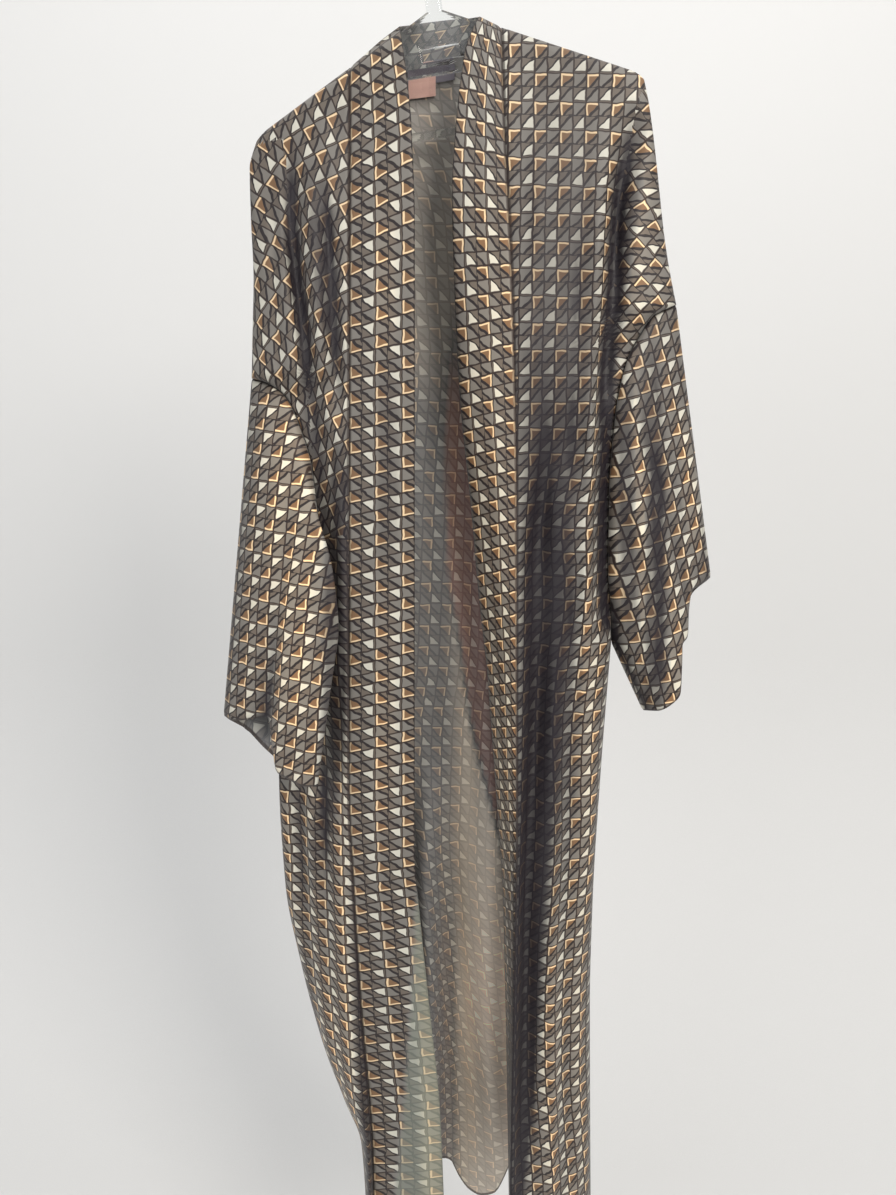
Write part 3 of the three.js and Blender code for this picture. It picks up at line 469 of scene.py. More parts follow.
def armhole_point(side, round_):
    steps = len(ARMHOLE_ROWS) - 1
    place = (round_ if round_ <= 1 else 2 - round_) * steps
    low = min(int(place), steps - 1)
    level = mix(ARMHOLE_ROWS[low], ARMHOLE_ROWS[low + 1], place - low)
    x, y = outer_edge(side, "front" if round_ <= 1 else "back", level)
    return x, y, level_drop(level, x, 0)


def sleeve_point(side, round_, along):
    """Sleeve: a tube from the armhole (along = 0) to the hem (along = 1)."""
    hem = SLEEVE_HEMS[side]
    start = armhole_point(side, round_)
    end = (hem["x"](round_), hem["y"](round_), hem["drop"](round_))
    x, y, drop = (mix(a, b, along) for a, b in zip(start, end))
    front, back, sideways = SLEEVE_FULLNESS[side]
    swell = 2.6 * math.sqrt(along) * (1 - along)
    girth = math.sin(math.pi * (round_ % 1)) ** 0.7
    folds = 0.0
    for n, (at, start_at, end_at, depth, half) in enumerate(SLEEVE_FOLDS[side]):
        run = (along - start_at) / (end_at - start_at)
        if run <= 0:
            continue
        reach = (round_ - at - 0.15 * half * math.sin(8 * along + n)) / half
        folds += depth * math.exp(-reach * reach) * ease(run / 0.3) * (1 - 0.6 * along)
    folds += crumple(x * 1.3, drop, 9.0 + len(side)) * min(girth, 4 * along) * 0.8
    if round_ < 1:
        y -= front * swell * girth - folds
        aside = sideways * ease(along / 0.25) * (1 - along)
        x += aside * ease((round_ - 0.3) / 0.2) * ease((1 - round_) / 0.2)
    else:
        y += back * swell * girth - folds
    return x, y, drop


# Grids of cloth
def refined(values, length, spacing):
    """The same places with more between them, about as far apart as the spacing."""
    result = [values[0]]
    for start, end in zip(values, values[1:]):
        parts = max(2, math.ceil((end - start) * length / spacing))
        result += [mix(start, end, (n + 1) / parts) for n in range(parts)]
    return result


ROWS = refined([*YOKE_ROWS, *ARMHOLE_ROWS, *SKIRT_ROWS], 440, 6.5)
SLEEVE_ROWS = refined([0, 0.05, 0.12, 0.3, 0.5, 0.7, 0.9, 1], 340, 5)
FRONT_COLUMNS = even(46)
BACK_COLUMNS = even(34)[:-1] + even(30, 1, 2) + even(34, 2, 3)[1:]
NECK_COLUMNS = even(30)
BAND_COLUMNS = even(14)
SLEEVE_ROUNDS = even(110, 0, 2)


def grid(rows, columns, point):
    return [[point(column, row) for column in columns] for row in rows]


def settled(seen):
    """A grid of the tables' points in their real places."""
    return [[real_place(*point) for point in row] for row in seen]


def lengths_across(points):
    """Length of cloth along each row, seen from above, counted from its first point."""
    result = []
    for row in points:
        sums = [0.0]
        for a, b in zip(row, row[1:]):
            sums.append(sums[-1] + math.hypot(b[0] - a[0], b[1] - a[1]))
        result.append(sums)
    return result


def lengths_down(points, column):
    """Length of cloth down one column."""
    line = [row[column] for row in points]
    sums = [0.0]
    for a, b in zip(line, line[1:]):
        sums.append(sums[-1] + math.dist(a, b))
    return sums


def turned(place, degrees, pivot=(0, 0)):
    """A place on the print, when the cloth is turned by an angle as the viewer sees it."""
    angle = math.radians(-degrees)
    x, y = place[0] - pivot[0], place[1] - pivot[1]
    return (
        pivot[0] + x * math.cos(angle) - y * math.sin(angle),
        pivot[1] + x * math.sin(angle) + y * math.cos(angle),
    )


# Degrees that the print leans: on each sleeve, and on each front at the yoke, past the tip fold
# and below the armhole
SLEEVE_LEAN = {"right": 195, "left": 174}
FRONT_LEANS = {"right": (0, -45, 0), "left": (26, 52, -90)}
SKIRT_LAY_FROM = 1.5
# A hollow this deep, against the cloth this far to its sides, takes the full painted shade
FOLD_REACH = 26
FOLD_FULL = 6


def shade(rows):
    return tracks("drop x half tone", rows)


# Painted shade along the deepest folds, and painted light on the widest ridges (tone below 0), by
# drop: rows of drop, x of the middle, half width, tone
SHADES = {
    "front_right": [
        shade([
            (60, 145, 60, 0.1), (210, 143, 60, 0.25), (295, 140, 58, 0.42), (381, 138, 56, 0.5),
            (467, 136, 54, 0.62), (553, 132, 50, 0.78), (638, 127, 44, 0.9), (724, 125, 43, 1),
            (810, 122, 42, 1), (896, 119, 40, 1), (982, 113, 36, 1), (1067, 107, 31, 1),
            (1153, 102, 26, 1), (1239, 97, 21, 1), (1325, 91, 18, 0.95), (1440, 86, 15, 0.9),
        ]),
        shade([
            (200, 226, 12, 0), (290, 219, 13, 0.4), (420, 201, 14, 0.65), (530, 190, 13, 0.55),
            (700, 185, 12, 0.4), (800, 184, 10, 0),
        ]),
    ],
    "front_left": [
        shade([
            (160, -150, 60, 0), (240, -150, 80, 0.1), (400, -145, 70, 0.15), (520, -140, 50, 0),
        ]),
        shade([
            (260, -122, 16, 0), (340, -118, 18, 0.6), (430, -110, 14, 0.7), (500, -95, 10, 0),
        ]),
        shade([
            (260, -165, 12, 0), (340, -158, 12, 0.2), (420, -142, 11, 0.3), (550, -118, 9, 0.3),
            (600, -112, 9, 0),
        ]),
        shade([
            (560, -96, 12, 0), (640, -97, 13, 0.8), (860, -98, 13, 0.8), (960, -110, 14, 0.6),
            (1060, -128, 12, 0),
        ]),
        shade([
            (1000, -78, 9, 0), (1100, -76, 10, 0.5), (1300, -66, 12, 0.7), (1440, -60, 12, 0.7),
        ]),
    ],
    "band_right": [
        shade([
            (250, 66, 30, 0), (380, 66, 36, -0.4), (535, 68, 40, -0.6), (629, 70, 40, -0.7),
            (816, 76, 36, -0.8), (950, 86, 30, -0.8), (1040, 92, 20, -0.3), (1100, 92, 16, 0),
        ]),
        shade([
            (900, 96, 8, 0), (1050, 96, 10, 0.7), (1250, 92, 12, 0.9), (1440, 90, 14, 1),
        ]),
    ],
    "band_left": [
        shade([
            (250, -48, 14, 0), (430, -48, 16, -0.5), (520, -45, 14, 0.2), (638, -44, 14, 0.3),
            (760, -46, 14, -0.2), (896, -48, 16, -0.5), (1030, -48, 14, 0),
        ]),
        shade([
            (1050, -10, 14, 0), (1200, 0, 15, -0.6), (1440, 4, 17, -0.8),
        ]),
    ],
    "sleeve_right": [
        shade([
            (500, 212, 9, 0), (580, 211, 10, 0.6), (720, 214, 10, 0.6), (800, 222, 8, 0),
        ]),
        shade([
            (400, 236, 14, 0), (553, 240, 16, 0.6), (638, 243, 16, 0.95), (810, 243, 16, 0.95),
            (860, 242, 11, 0.3),
        ]),
        shade([
            (520, 276, 13, 0), (580, 282, 15, -0.6), (680, 286, 14, -0.6), (760, 288, 10, 0),
        ]),
        shade([
            (560, 230, 8, 0), (620, 231, 9, -0.4), (780, 236, 9, -0.4), (840, 236, 8, 0),
        ]),
    ],
    "sleeve_left": [
        shade([
            (500, -152, 26, -0.3), (650, -150, 32, -0.65), (820, -144, 30, -0.65), (900, -140, 18, 0),
        ]),
        shade([
            (560, -98, 12, 0), (640, -101, 13, 0.6), (860, -104, 13, 0.7), (960, -112, 12, 0.6),
        ]),
    ],
}
# Painted light and shade on the inside of the back: 0 a brown shade, 0.4 grey, 1 pale, 1.5 pale
# and lit. The tone is reached at the middle, and the brown shade starts at the shade's x.
GREY, PALE, LIT = 0.4, 1, 1.5
INNER_LIGHT = tracks("drop middle tone shade", [
    (90, -20, 0.45, 44), (300, -20, 0.66, 28), (450, -10, 0.66, 18), (567, 20, 0.4, 18),
    (701, 44, 0.45, 20), (790, 48, 0.65, 33), (880, 52, 0.85, 45), (969, 56, 1, 66),
    (1081, 60, 1.2, 92), (1192, 60, 1.5, 98), (1304, 60, 1.15, 104), (1440, 60, 1.05, 104),
])
INNER_CREASE = 16


def inner_tones(seen):
    """Painted light and shade inside the back: pale where light falls in, painted shade beside the right
    band and in the hem's crease.
    """
    result = []
    for row in seen:
        line = []
        for x, _, drop in row:
            tone = INNER_LIGHT["tone"](drop)
            right_of_middle = (x - INNER_LIGHT["middle"](drop)) / 34
            tone = mix(min(tone, GREY), tone, ease(right_of_middle + 1.2))
            # Painted brown shade beside the right band
            strength = 0.95 * ease((drop - 380) / 200)
            tone *= 1 - strength * ease((x - INNER_LIGHT["shade"](drop) + 4) / 7)
            # Painted shade in the hem's crease
            crease = ease(1.6 * (1 - abs(x - INNER_CREASE) / 15)) * ease((drop - 1060) / 100)
            tone = mix(tone, 0.36, crease)
            line.append(tone)
        result.append(line)
    return result


# Where the left band turns out near the hem and shows its wrong side
TURNED_OUT = Track([(1030, -8), (1060, -15), (1153, -19), (1250, -25.5), (1384, -37), (1450, -44)])


def turned_share(seen):
    """How far each point of the left band lies on the turned strip."""
    return [
        [ease((x - TURNED_OUT(drop)) / 3 + 0.5) * ease((drop - 1035) / 40) for x, _, drop in row]
        for row in seen
    ]


# Where the cloth past each hanger tip starts, turned on the bias: the deep fold from the tip
TIP_FOLD = {
    "right": Track([(0, 236), (0.1, 226), (0.45, 210), (0.8, 199), (1.45, 190)]),
    "left": Track([(0, -196), (0.1, -158), (0.45, -150), (0.8, -140), (1.45, -122)]),
}


def front_print(side, seen, points):
    """Lays of the print on a front, straight down and on the bias, and which lay each face takes."""
    outward = 1 if side == "right" else -1
    across = lengths_across(points)
    straight = [
        [(row[0][0] + outward * length, -point[2]) for length, point in zip(across[j], row)]
        for j, row in enumerate(points)
    ]
    leans = FRONT_LEANS[side]
    lays = [[[turned(place, lean) for place in row] for row in straight] for lean in leans]
    choice = []
    for j, row in enumerate(seen):
        past_tip = [outward * (point[0] - TIP_FOLD[side](ROWS[j])) > 0 for point in row]
        choice.append([2 if ROWS[j] > SKIRT_LAY_FROM else int(past) for past in past_tip])
    return lays, choice


def band_print(side, points):
    down = lengths_down(points, 0)
    turn = -90 if side == "right" else 90
    direction = -1 if side == "right" else 1
    width = [direction * BAND_WIDTH * across for across in BAND_COLUMNS]
    return [[turned((x, -down[j]), turn) for x in width] for j in range(len(points))]


def neck_band_print(points):
    across = lengths_across(points)
    return [
        [turned((-BAND_WIDTH * BAND_COLUMNS[j], -across[j][i]), 90) for i in range(len(row))]
        for j, row in enumerate(points)
    ]


def back_print(points):
    across = lengths_across(points)
    middle = len(BACK_COLUMNS) // 2
    return [
        [(across[j][middle] - across[j][i], -point[2]) for i, point in enumerate(row)]
        for j, row in enumerate(points)
    ]


def sleeve_print(side, points):
    """Places on the print for a sleeve: along the line from armhole to hem, and round it."""
    direction = -1 if side == "right" else 1
    lean = SLEEVE_LEAN[side]
    first, last = points[0][0], points[-1][0]
    axis = Vector(last) - Vector(first)
    axis.normalize()
    upright = math.degrees(math.atan2(axis.x, axis.z))
    result = []
    for row in points:
        line = []
        round_length = 0.0
        before = Vector(row[0])
        for point in row:
            here = Vector(point)
            step = here - before
            round_length += step.cross(axis).length
            before = here
            place = (direction * round_length, -(here - Vector(first)).dot(axis))
            line.append(turned(place, lean - upright))
        result.append(line)
    return result


def fold_shades(seen, outward, drawn=(), by_form=1):
    """How far each point lies in shade, 1 in a deep fold and below 0 on a ridge."""
    result = []
    for row in seen:
        shades = []
        for x, y, drop in row:
            left = [other[1] for other in row if 0 < x - other[0] < FOLD_REACH]
            right = [other[1] for other in row if 0 < other[0] - x < FOLD_REACH]
            hollow = 0
            if left and right:
                level = (sum(left) / len(left) + sum(right) / len(right)) / 2
                hollow = (y - level) * outward / FOLD_FULL
            tone = by_form * (clamp(hollow, 0, 1) ** 1.5 - 0.5 * clamp(-hollow, 0, 1))
            painted = 0
            for track in drawn:
                aside = abs(x - track["x"](drop)) / track["half"](drop)
                painted += track["tone"](drop) * ease(1.6 * (1 - aside))
            if painted > 0:
                tone = max(tone, 0)
            shades.append(clamp(tone + painted, -1, 1))
        result.append(shades)
    return result


def edge_distances(points, edges):
    """Distance of each point from the nearest sewn edge, along its own row or column."""
    result = [[FAR_FROM_EDGE] * len(row) for row in points]
    down = range(len(points))
    along = range(len(points[0]))
    lines = {
        "top": [[(j, i) for j in down] for i in along],
        "bottom": [[(j, i) for j in reversed(down)] for i in along],
        "start": [[(j, i) for i in along] for j in down],
    }
    for name in edges:
        for line in lines[name]:
            total = 0.0
            before = points[line[0][0]][line[0][1]]
            for j, i in line:
                total += math.dist(before, points[j][i])
                before = points[j][i]
                result[j][i] = min(result[j][i], total)
                if total > EDGE_SEARCH:
                    break
    return result


def cloth(name, node, points, places, shades, materials, edges, outward, tube=False, inner=None,
          turned_out=None):
    """A thin shell of cloth: a grid moved to its points, its print laid on it in metres."""
    rows = len(points)
    columns = len(points[0])
    form = bmesh.new()
    bmesh.ops.create_grid(form, x_segments=columns - 1, y_segments=rows - 1, size=0.5)
    uv_layer = form.loops.layers.uv.new("print")
    edge_layer = form.verts.layers.float.new("edge_mm")
    shade_layer = form.verts.layers.float.new("fold_shade")
    inner_layer = form.verts.layers.float.new("inner_tone")
    turned_layer = form.verts.layers.float.new("turned_out")
    distances = edge_distances(points, edges)
    where = {}
    for vertex in form.verts:
        i = round((vertex.co.x + 0.5) * (columns - 1))
        j = round((0.5 - vertex.co.y) * (rows - 1))
        where[vertex.index] = (j, i)
    for vertex in form.verts:
        j, i = where[vertex.index]
        x, y, drop = points[j][i]
        vertex.co = (x * MM, y * MM, -drop * MM)
        vertex[edge_layer] = distances[j][i]
        vertex[shade_layer] = shades[j][i]
        vertex[inner_layer] = inner[j][i] if inner else GREY
        vertex[turned_layer] = turned_out[j][i] if turned_out else 0
    lays, choice = places if isinstance(places, tuple) else ([places], None)
    for face in form.faces:
        corners = [where[loop.vert.index] for loop in face.loops]
        top = min(j for j, _ in corners)
        start = min(i for _, i in corners)
        lay = lays[choice[top][start]] if choice else lays[0]
        for loop, (j, i) in zip(face.loops, corners):
            loop[uv_layer].uv = (lay[j][i][0] * MM, lay[j][i][1] * MM)
        face.smooth = True
    if tube:
        bmesh.ops.remove_doubles(form, verts=form.verts, dist=0.00002)
    form.normal_update()
    if outward < 0:
        bmesh.ops.reverse_faces(form, faces=form.faces)
    sink_seams(form, edge_layer)
    mesh = bpy.data.meshes.new(name)
    form.to_mesh(mesh)
    form.free()
    for material in materials:
        mesh.materials.append(material)
    obj = bpy.data.objects.new(name, mesh)
    bpy.context.scene.collection.objects.link(obj)
    shell = obj.modifiers.new("thickness", "SOLIDIFY")
    shell.thickness = CLOTH_THICK * MM
    shell.offset = 0
    shell.material_offset = 1
    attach(obj, "root")
    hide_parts(node)
    return obj


def sink_seams(form, edge_layer):
    """The cloth dips a little where it is sewn."""
    form.normal_update()
    moves = []
    for vertex in form.verts:
        dip = SEAM_SINK * (1 - ease(vertex[edge_layer] / SEAM_SLOPE))
        if dip > 0:
            moves.append((vertex, vertex.normal * (-dip * MM)))
    for vertex, move in moves:
        vertex.co += move


# Shader nodes
class Tree:
    """Adds nodes to one tree, each from its inputs, and gives back what they put out."""

    def __init__(self, tree):
        self.tree = tree

    def add(self, kind, **settings):
        node = self.tree.nodes.new(kind)
        for name, value in settings.items():
            setattr(node, name, value)
        return node

    def feed(self, socket, value):
        if isinstance(value, bpy.types.NodeSocket):
            self.tree.links.new(value, socket)
        else:
            socket.default_value = value

    def math(self, operation, *values):
        node = self.add("ShaderNodeMath", operation=operation)
        for socket, value in zip(node.inputs, values):
            self.feed(socket, value)
        return node.outputs[0]

    def blend(self, share, first, second):
        node = self.add("ShaderNodeMix", data_type="RGBA")
        self.feed(node.inputs["Factor"], share)
        self.feed(node.inputs[6], first)
        self.feed(node.inputs[7], second)
        return node.outputs[2]

    def tint(self, share, color, factor):
        """A colour multiplied by another, as far as the share says."""
        node = self.add("ShaderNodeMix", data_type="RGBA", blend_type="MULTIPLY")
        self.feed(node.inputs["Factor"], share)
        self.feed(node.inputs[6], color)
        self.feed(node.inputs[7], factor)
        return node.outputs[2]

    def ramp(self, value, start, end):
        """A straight rise from 0 at one value to 1 at another."""
        node = self.add("ShaderNodeMapRange")
        self.feed(node.inputs[0], value)
        self.feed(node.inputs[1], start)
        self.feed(node.inputs[2], end)
        return node.outputs[0]

    def above(self, value, limit, soft=0.03):
        """A step from 0 to 1 with a soft edge."""
        node = self.add("ShaderNodeMapRange", interpolation_type="SMOOTHSTEP")
        self.feed(node.inputs[0], value)
        self.feed(node.inputs[1], limit - soft)
        self.feed(node.inputs[2], limit + soft)
        return node.outputs[0]

    def below(self, value, limit, soft=0.03):
        return self.math("SUBTRACT", 1.0, self.above(value, limit, soft))

    def inside(self, value, low, high, soft=0.03):
        return self.math("MULTIPLY", self.above(value, low, soft), self.below(value, high, soft))

    def both(self, *values):
        result = values[0]
        for value in values[1:]:
            result = self.math("MULTIPLY", result, value)
        return result

    def noise(self, vector, scale, detail=2.0):
        node = self.add("ShaderNodeTexNoise")
        self.feed(node.inputs["Vector"], vector)
        node.inputs["Scale"].default_value = scale
        node.inputs["Detail"].default_value = detail
        return node.outputs["Fac"]


def rgb(red, green, blue):
    """A colour as seen, 0 to 255, in the linear values that shaders use."""
    def linear(value):
        share = value / 255
        return share / 12.92 if share <= 0.04045 else ((share + 0.055) / 1.055) ** 2.4
    return linear(red), linear(green), linear(blue), 1.0


PRINT = {
    "ground": rgb(104, 95, 86),
    "brown": rgb(124, 94, 66),
    "grey": rgb(120, 116, 110),
    "white": rgb(204, 201, 188),
    "cream": rgb(232, 204, 164),
    "stripe": rgb(34, 27, 28),
    "line": rgb(44, 32, 28),
}
# Colour of the painted shade in deep folds
PAINTED_FOLD_SHADE = rgb(24, 17, 27)
# Painted light on ridges multiplies the colour by this
RIDGE_LIGHT = (1.75, 1.6, 1.4, 1.0)
# Wrong-side colours that paint light and shade inside the back: brown a painted shade, grey between,
# pale painted light; lit tints the left band's turned-out strip
INSIDE = {
    "brown": rgb(172, 138, 131),
    "grey": rgb(134, 135, 136),
    "pale": rgb(248, 236, 220),
    "lit": rgb(128, 134, 124),
}
# Painted light on the most lit parts inside the back multiplies the colour by this
INSIDE_LIGHT = (1.6, 1.52, 1.46, 1.0)
SEWN = rgb(48, 38, 36)
TURNED_FADE = 0.6
CELL = (13.4 * MM, 13.7 * MM)


def new_group(name, inputs, outputs):
    group = bpy.data.node_groups.new(name, "ShaderNodeTree")
    for socket, kind in inputs:
        group.interface.new_socket(socket, in_out="INPUT", socket_type=kind)
    for socket, kind in outputs:
        group.interface.new_socket(socket, in_out="OUTPUT", socket_type=kind)
    tree = Tree(group)
    return tree, tree.add("NodeGroupInput"), tree.add("NodeGroupOutput")


def print_group():
    """Squares and triangles: a repeat of two by two cells, in metres of cloth."""
    tree, given, result = new_group(
        "printed crepe",
        [("Vector", "NodeSocketVector"), ("Fade", "NodeSocketFloat"), ("Cast", "NodeSocketColor")],
        [("Color", "NodeSocketColor")],
    )
    split = tree.add("ShaderNodeSeparateXYZ")
    tree.feed(split.inputs[0], given.outputs["Vector"])
    waver = tree.noise(given.outputs["Vector"], 90.0, 1.0)
    shift = tree.math("MULTIPLY", tree.math("SUBTRACT", waver, 0.5), 0.22)
    right = tree.math("ADD", tree.math("DIVIDE", split.outputs[0], CELL[0]), shift)
    down = tree.math("ADD", tree.math("DIVIDE", split.outputs[1], -CELL[1]), shift)
    x = tree.math("FRACT", right)
    y = tree.math("FRACT", down)
    odd_column = tree.math("FLOORED_MODULO", tree.math("FLOOR", right), 2.0)
    lower_row = tree.math("FLOORED_MODULO", tree.math("FLOOR", down), 2.0)
    even_column = tree.math("SUBTRACT", 1.0, odd_column)
    upper_row = tree.math("SUBTRACT", 1.0, lower_row)

    # Distance from the corner that each shape sits in, straight and bulging
    from_corner = tree.math("ADD", x, y)
    corner_round = tree.math("ADD", tree.math("POWER", x, 1.5), tree.math("POWER", y, 1.5))
    far_x = tree.math("SUBTRACT", 1.0, x)
    far_y = tree.math("SUBTRACT", 1.0, y)
    from_far = tree.math("ADD", far_x, far_y)
    far_round = tree.math("ADD", tree.math("POWER", far_x, 1.5), tree.math("POWER", far_y, 1.5))

    brown = tree.both(upper_row, even_column, tree.below(from_corner, 1.1))
    grey_up = tree.both(upper_row, odd_column, tree.below(corner_round, 0.92))
    grey_low = tree.both(lower_row, even_column, tree.below(far_round, 0.88))
    white = tree.both(
        lower_row, odd_column, tree.below(tree.math("ADD", far_round, from_far), 1.94),
        tree.inside(y, 0.06, 0.84),
        tree.below(x, 0.9),
    )
    stripe_up = tree.both(upper_row, tree.inside(from_corner, 1.1, 1.36))
    stripe_low = tree.both(lower_row, tree.inside(from_far, 1.0, 1.26))
    bar_left = tree.both(upper_row, even_column, tree.inside(x, 0.07, 0.19), tree.inside(y, 0.06, 0.92))
    bar_top = tree.both(upper_row, even_column, tree.inside(y, 0.06, 0.19), tree.inside(x, 0.07, 0.95))
    upright = tree.math("MAXIMUM", tree.below(x, 0.065), tree.above(x, 0.935))
    swing = tree.math("COSINE", tree.math("MULTIPLY", x, 2 * math.pi))
    wave = tree.math("ADD", y, tree.math("MULTIPLY", swing, 0.05))
    level_top = tree.both(upper_row, tree.below(y, 0.05))
    level_low = tree.both(upper_row, tree.inside(wave, 0.91, 1.03))
    ledge = tree.both(lower_row, odd_column, tree.inside(y, 0.84, 0.9))
    sill = tree.both(lower_row, tree.above(y, 0.96))

    color = tree.blend(brown, PRINT["ground"], PRINT["brown"])
    color = tree.blend(tree.math("MAXIMUM", grey_up, grey_low), color, PRINT["grey"])
    color = tree.blend(tree.math("MAXIMUM", stripe_up, stripe_low), color, PRINT["stripe"])
    color = tree.blend(white, color, PRINT["white"])
    lines = upright
    for other in (level_top, ledge, sill):
        lines = tree.math("MAXIMUM", lines, other)
    color = tree.blend(lines, color, PRINT["line"])
    color = tree.blend(level_low, color, PRINT["stripe"])
    color = tree.blend(tree.math("MAXIMUM", bar_left, bar_top), color, PRINT["cream"])
    color = tree.blend(given.outputs["Fade"], color, given.outputs["Cast"])
    tree.feed(result.inputs["Color"], color)
    return tree.tree


def cloth_material(name, group, fade, roughness, painted_shade_strength, hem_width):
    """One side of the cloth: its print, faded on the wrong side, its sewing and weave, painted shade in
    its folds, painted light on its ridges, and painted light and shade inside the back.
    """
    material = bpy.data.materials.new(name)
    material.use_nodes = True
    tree = Tree(material.node_tree)
    shader = material.node_tree.nodes["Principled BSDF"]
    shader.inputs["Roughness"].default_value = roughness
    shader.inputs["Sheen Weight"].default_value = 0.12
    shader.inputs["Sheen Roughness"].default_value = 0.4
    shader.inputs["Specular IOR Level"].default_value = 0.4
    places = tree.add("ShaderNodeUVMap", uv_map="print")
    # The inner tone paints light and shade on the inside of the back
    inner = tree.add("ShaderNodeAttribute", attribute_name="inner_tone")
    pale = tree.blend(tree.ramp(inner.outputs["Fac"], GREY, PALE), INSIDE["grey"], INSIDE["pale"])
    cast = tree.blend(tree.ramp(inner.outputs["Fac"], 0, GREY), INSIDE["brown"], pale)
    printed = tree.add("ShaderNodeGroup", node_tree=group)
    tree.feed(printed.inputs["Vector"], places.outputs[0])
    turned_out = tree.add("ShaderNodeAttribute", attribute_name="turned_out").outputs["Fac"]
    turned_fade = tree.math("MULTIPLY", turned_out, TURNED_FADE)
    tree.feed(printed.inputs["Fade"], tree.math("MAXIMUM", fade, turned_fade))
    tree.feed(printed.inputs["Cast"], tree.blend(turned_out, cast, INSIDE["lit"]))
    edge = tree.add("ShaderNodeAttribute", attribute_name="edge_mm")
    sewn = tree.math("MULTIPLY", tree.below(edge.outputs["Fac"], hem_width, 0.9), 0.75)
    # Painted light where the inside of the back is most lit
    lit = tree.math("MULTIPLY", tree.ramp(inner.outputs["Fac"], PALE, LIT), 1.0 if fade else 0.0)
    color = tree.tint(lit, printed.outputs["Color"], INSIDE_LIGHT)
    color = tree.blend(sewn, color, SEWN)
    # Painted shade in the folds and painted light on the ridges, from the fold_shade attribute
    fold = tree.add("ShaderNodeAttribute", attribute_name="fold_shade")
    ridge = tree.math("MULTIPLY", tree.ramp(fold.outputs["Fac"], 0, -1), 0.8)
    color = tree.tint(ridge, color, RIDGE_LIGHT)
    dark = tree.math("MULTIPLY", tree.ramp(fold.outputs["Fac"], 0, 1), painted_shade_strength)
    color = tree.blend(dark, color, PAINTED_FOLD_SHADE)
    tree.feed(shader.inputs["Base Color"], color)
    weave = tree.noise(places.outputs[0], 1400.0)
    bump = tree.add("ShaderNodeBump")
    bump.inputs["Strength"].default_value = 0.25
    bump.inputs["Distance"].default_value = 0.0003
    tree.feed(bump.inputs["Height"], weave)
    tree.feed(shader.inputs["Normal"], bump.outputs[0])
    return material


def plain_material(name, color, roughness, metallic=0.0):
    """A plain surface with fine changes in its colour and polish."""
    material = bpy.data.materials.new(name)
    material.use_nodes = True
    tree = Tree(material.node_tree)
    shader = material.node_tree.nodes["Principled BSDF"]
    shader.inputs["Metallic"].default_value = metallic
    place = tree.add("ShaderNodeTexCoord").outputs["Object"]
    fine = tree.noise(place, 900.0)
    shade = tree.math("ADD", tree.math("MULTIPLY", fine, 0.1), roughness - 0.05)
    tree.feed(shader.inputs["Roughness"], shade)
    darker = tuple(value * 0.86 for value in color[:3]) + (1.0,)
    tree.feed(shader.inputs["Base Color"], tree.blend(fine, darker, color))
    return material, tree, shader


def clear_plastic():
    material, _, shader = plain_material("clear plastic", rgb(250, 252, 252), 0.06)
    shader.inputs["Transmission Weight"].default_value = 1.0
    shader.inputs["IOR"].default_value = 1.2
    return material


def set_finish(obj, material):
    obj.data.materials.clear()
    obj.data.materials.append(material)
    for face in obj.data.polygons:
        face.material_index = 0


crepe = print_group()
right_side = cloth_material("printed crepe right side", crepe, 0.0, 0.55, 0.92, 2.4)
wrong_side = cloth_material("printed crepe wrong side", crepe, 0.54, 0.7, 0.0, 4.2)
CREPE = (right_side, wrong_side)

# Cloth pieces
for side in ("left", "right"):
    turn = 1 if side == "right" else -1
    seen = grid(ROWS, FRONT_COLUMNS, lambda column, level: front_point(side, column, level))
    front = settled(seen)
    cloth(
        "cloth_front_" + side, "front_" + side, front, front_print(side, seen, front),
        fold_shades(seen, 1, SHADES["front_" + side]), CREPE, ("start", "bottom"), turn,
    )
    seen = grid(ROWS, BAND_COLUMNS, lambda across, level: band_point(side, across, level))
    band = settled(seen)
    cloth(
        "cloth_band_" + side, "band_" + side, band, band_print(side, band),
        fold_shades(seen, 1, SHADES["band_" + side], 0), CREPE, ("start", "bottom"), -turn,
        turned_out=turned_share(seen) if side == "left" else None,
    )
    seen = grid(SLEEVE_ROWS, SLEEVE_ROUNDS, lambda round_, along: sleeve_point(side, round_, along))
    sleeve = settled(seen)
    half = len(SLEEVE_ROUNDS) // 2
    shades = [
        before + behind
        for before, behind in zip(
            fold_shades([row[:half] for row in seen], 1, SHADES["sleeve_" + side]),
            fold_shades([row[half:] for row in seen], -1),
        )
    ]
    cloth(
        "cloth_sleeve_" + side, "sleeve_" + side, sleeve, sleeve_print(side, sleeve), shades,
        CREPE, ("top", "bottom"), -turn, tube=True,
    )
seen = grid(ROWS, BACK_COLUMNS, back_point)
back = settled(seen)
cloth(
    "cloth_back", "back", back, back_print(back), fold_shades(seen, -1), CREPE, ("bottom",), -1,
    inner=inner_tones(seen),
)
seen = grid(BAND_COLUMNS, NECK_COLUMNS, neck_band_point)
neck_band = settled(seen)
cloth(
    "cloth_band_neck", "band_neck", neck_band, neck_band_print(neck_band),
    fold_shades(seen, 1), CREPE, ("top",), 1,
)

# Hanger, labels
nodes = frame["nodes"]
set_finish(nodes["hanger_body"], clear_plastic())
for name, color, roughness, metallic, slot in (
    ("hanger_hook", rgb(200, 202, 205), 0.2, 1.0, "hook_wire"),
    ("neck_label", rgb(122, 116, 124), 0.7, 0.0, "neck_label"),
    ("size_label", rgb(214, 170, 156), 0.7, 0.0, "size_label"),
):
    material = plain_material(slot.replace("_", " "), color, roughness, metallic)[0]
    set_finish(nodes[name], material)

# Floor, light and camera, in metres
FLOOR = -1.95
FLOOR_FRONT, FLOOR_BACK, CURVE = -6, 0.4, 0.8
WALL_TOP = 4.5
SHEET_WIDTH = 16


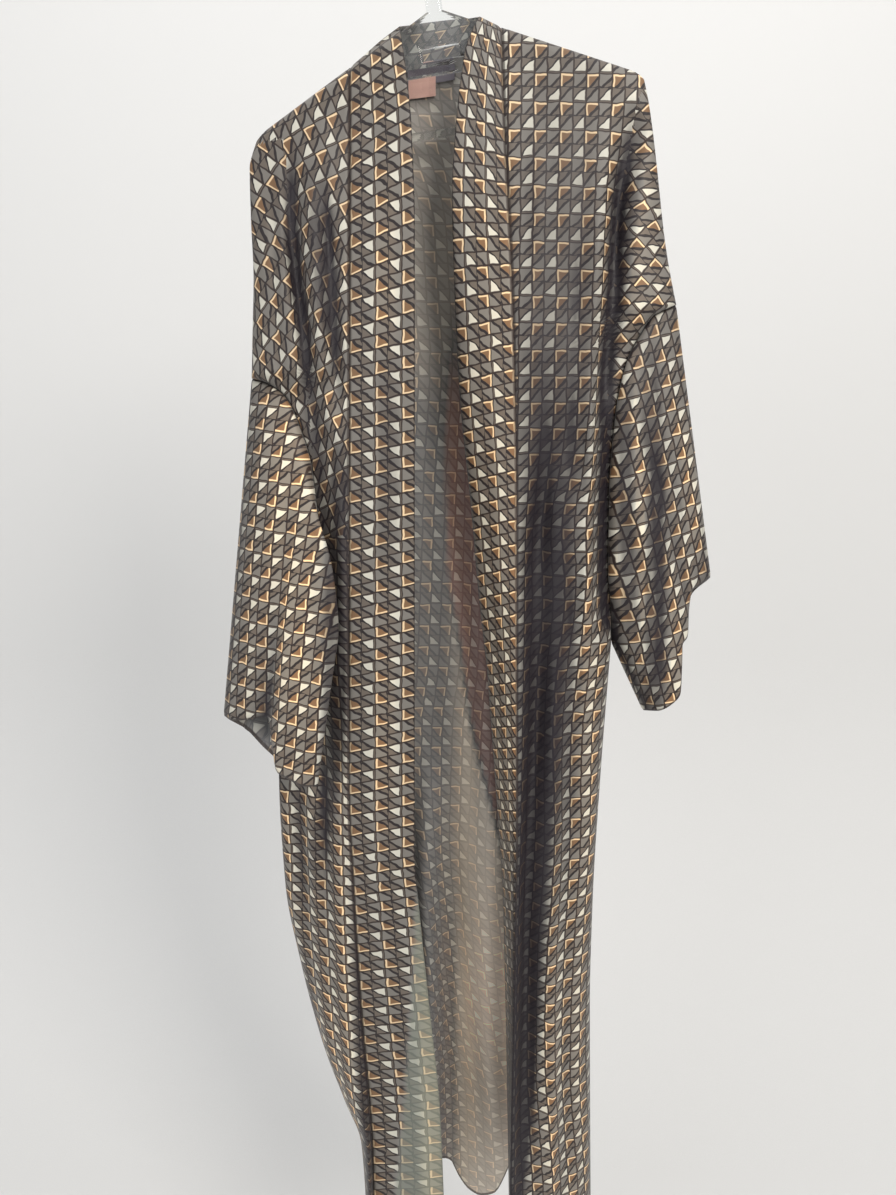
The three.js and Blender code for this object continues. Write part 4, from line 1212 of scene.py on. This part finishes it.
def stage_sheet():
    """A pale floor that curves up into a wall behind."""
    material, _, _ = plain_material("studio paper", rgb(232, 232, 231), 0.9)
    form = bmesh.new()
    bmesh.ops.create_grid(form, x_segments=2, y_segments=40, size=0.5)
    for vertex in form.verts:
        along = vertex.co.y + 0.5
        x = vertex.co.x * SHEET_WIDTH
        if along < 0.5:
            vertex.co = (x, mix(FLOOR_FRONT, FLOOR_BACK, along * 2), FLOOR)
        elif along < 0.75:
            angle = (along - 0.5) * 2 * math.pi
            back = FLOOR_BACK + CURVE * math.sin(angle)
            vertex.co = (x, back, FLOOR + CURVE * (1 - math.cos(angle)))
        else:
            height = mix(FLOOR + CURVE, WALL_TOP, (along - 0.75) * 4)
            vertex.co = (x, FLOOR_BACK + CURVE, height)
    for face in form.faces:
        face.smooth = True
    mesh = bpy.data.meshes.new("stage_sheet")
    form.to_mesh(mesh)
    form.free()
    mesh.materials.append(material)
    obj = bpy.data.objects.new("stage_sheet", mesh)
    bpy.context.scene.collection.objects.link(obj)
    return obj


def area_light(name, place, target, size, power, color=(1, 1, 1)):
    light = bpy.data.lights.new(name, "AREA")
    light.shape = "RECTANGLE"
    light.size, light.size_y = size
    light.energy = power
    light.color = color
    obj = bpy.data.objects.new(name, light)
    obj.location = place
    obj.rotation_euler = (Vector(target) - Vector(place)).to_track_quat("-Z", "Y").to_euler()
    bpy.context.scene.collection.objects.link(obj)
    return obj


stage_sheet()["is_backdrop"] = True
robe_centre = (0, 0, -0.85)
area_light("key", (1.5, -2.3, 0.9), robe_centre, (1.2, 1.2), 55, (1.0, 0.95, 0.89))
area_light("fill", (-2.0, -2.2, -0.2), robe_centre, (1.8, 2.2), 17, (0.96, 0.97, 1.0))
area_light("backdrop", (0, -0.4, 1.6), (0, 1.2, -0.7), (3.0, 1.0), 24)

world = bpy.data.worlds.new("studio")
world.use_nodes = True
world.node_tree.nodes["Background"].inputs["Color"].default_value = (1.0, 1.0, 1.0, 1.0)
world.node_tree.nodes["Background"].inputs["Strength"].default_value = 0.55
bpy.context.scene.world = world
bpy.context.scene.view_settings.view_transform = "Standard"

camera = bpy.data.cameras.new("camera")
camera.sensor_width = 36
camera.lens = LENS
viewer = bpy.data.objects.new("camera", camera)
viewer.location = (EYE_X * MM, -EYE_DISTANCE * MM, -EYE_DROP * MM)
viewer.rotation_euler = (math.radians(90) - EYE_DOWN, 0, 0)
bpy.context.scene.collection.objects.link(viewer)
bpy.context.scene.camera = viewer


def visual_box():
    """Corners of everything that shows of the object."""
    low, high = [9.0] * 3, [-9.0] * 3
    bpy.context.view_layer.update()
    graph = bpy.context.evaluated_depsgraph_get()
    for obj in bpy.context.scene.objects:
        if obj.type != "MESH" or obj.hide_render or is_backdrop(obj):
            continue
        shown = obj.evaluated_get(graph)
        for corner in shown.bound_box:
            place = obj.matrix_world @ Vector(corner)
            low = [min(a, b) for a, b in zip(low, place)]
            high = [max(a, b) for a, b in zip(high, place)]
    return [low, high]


sizes = {"cad": [list(corner) for corner in cad_box], "visual": visual_box()}
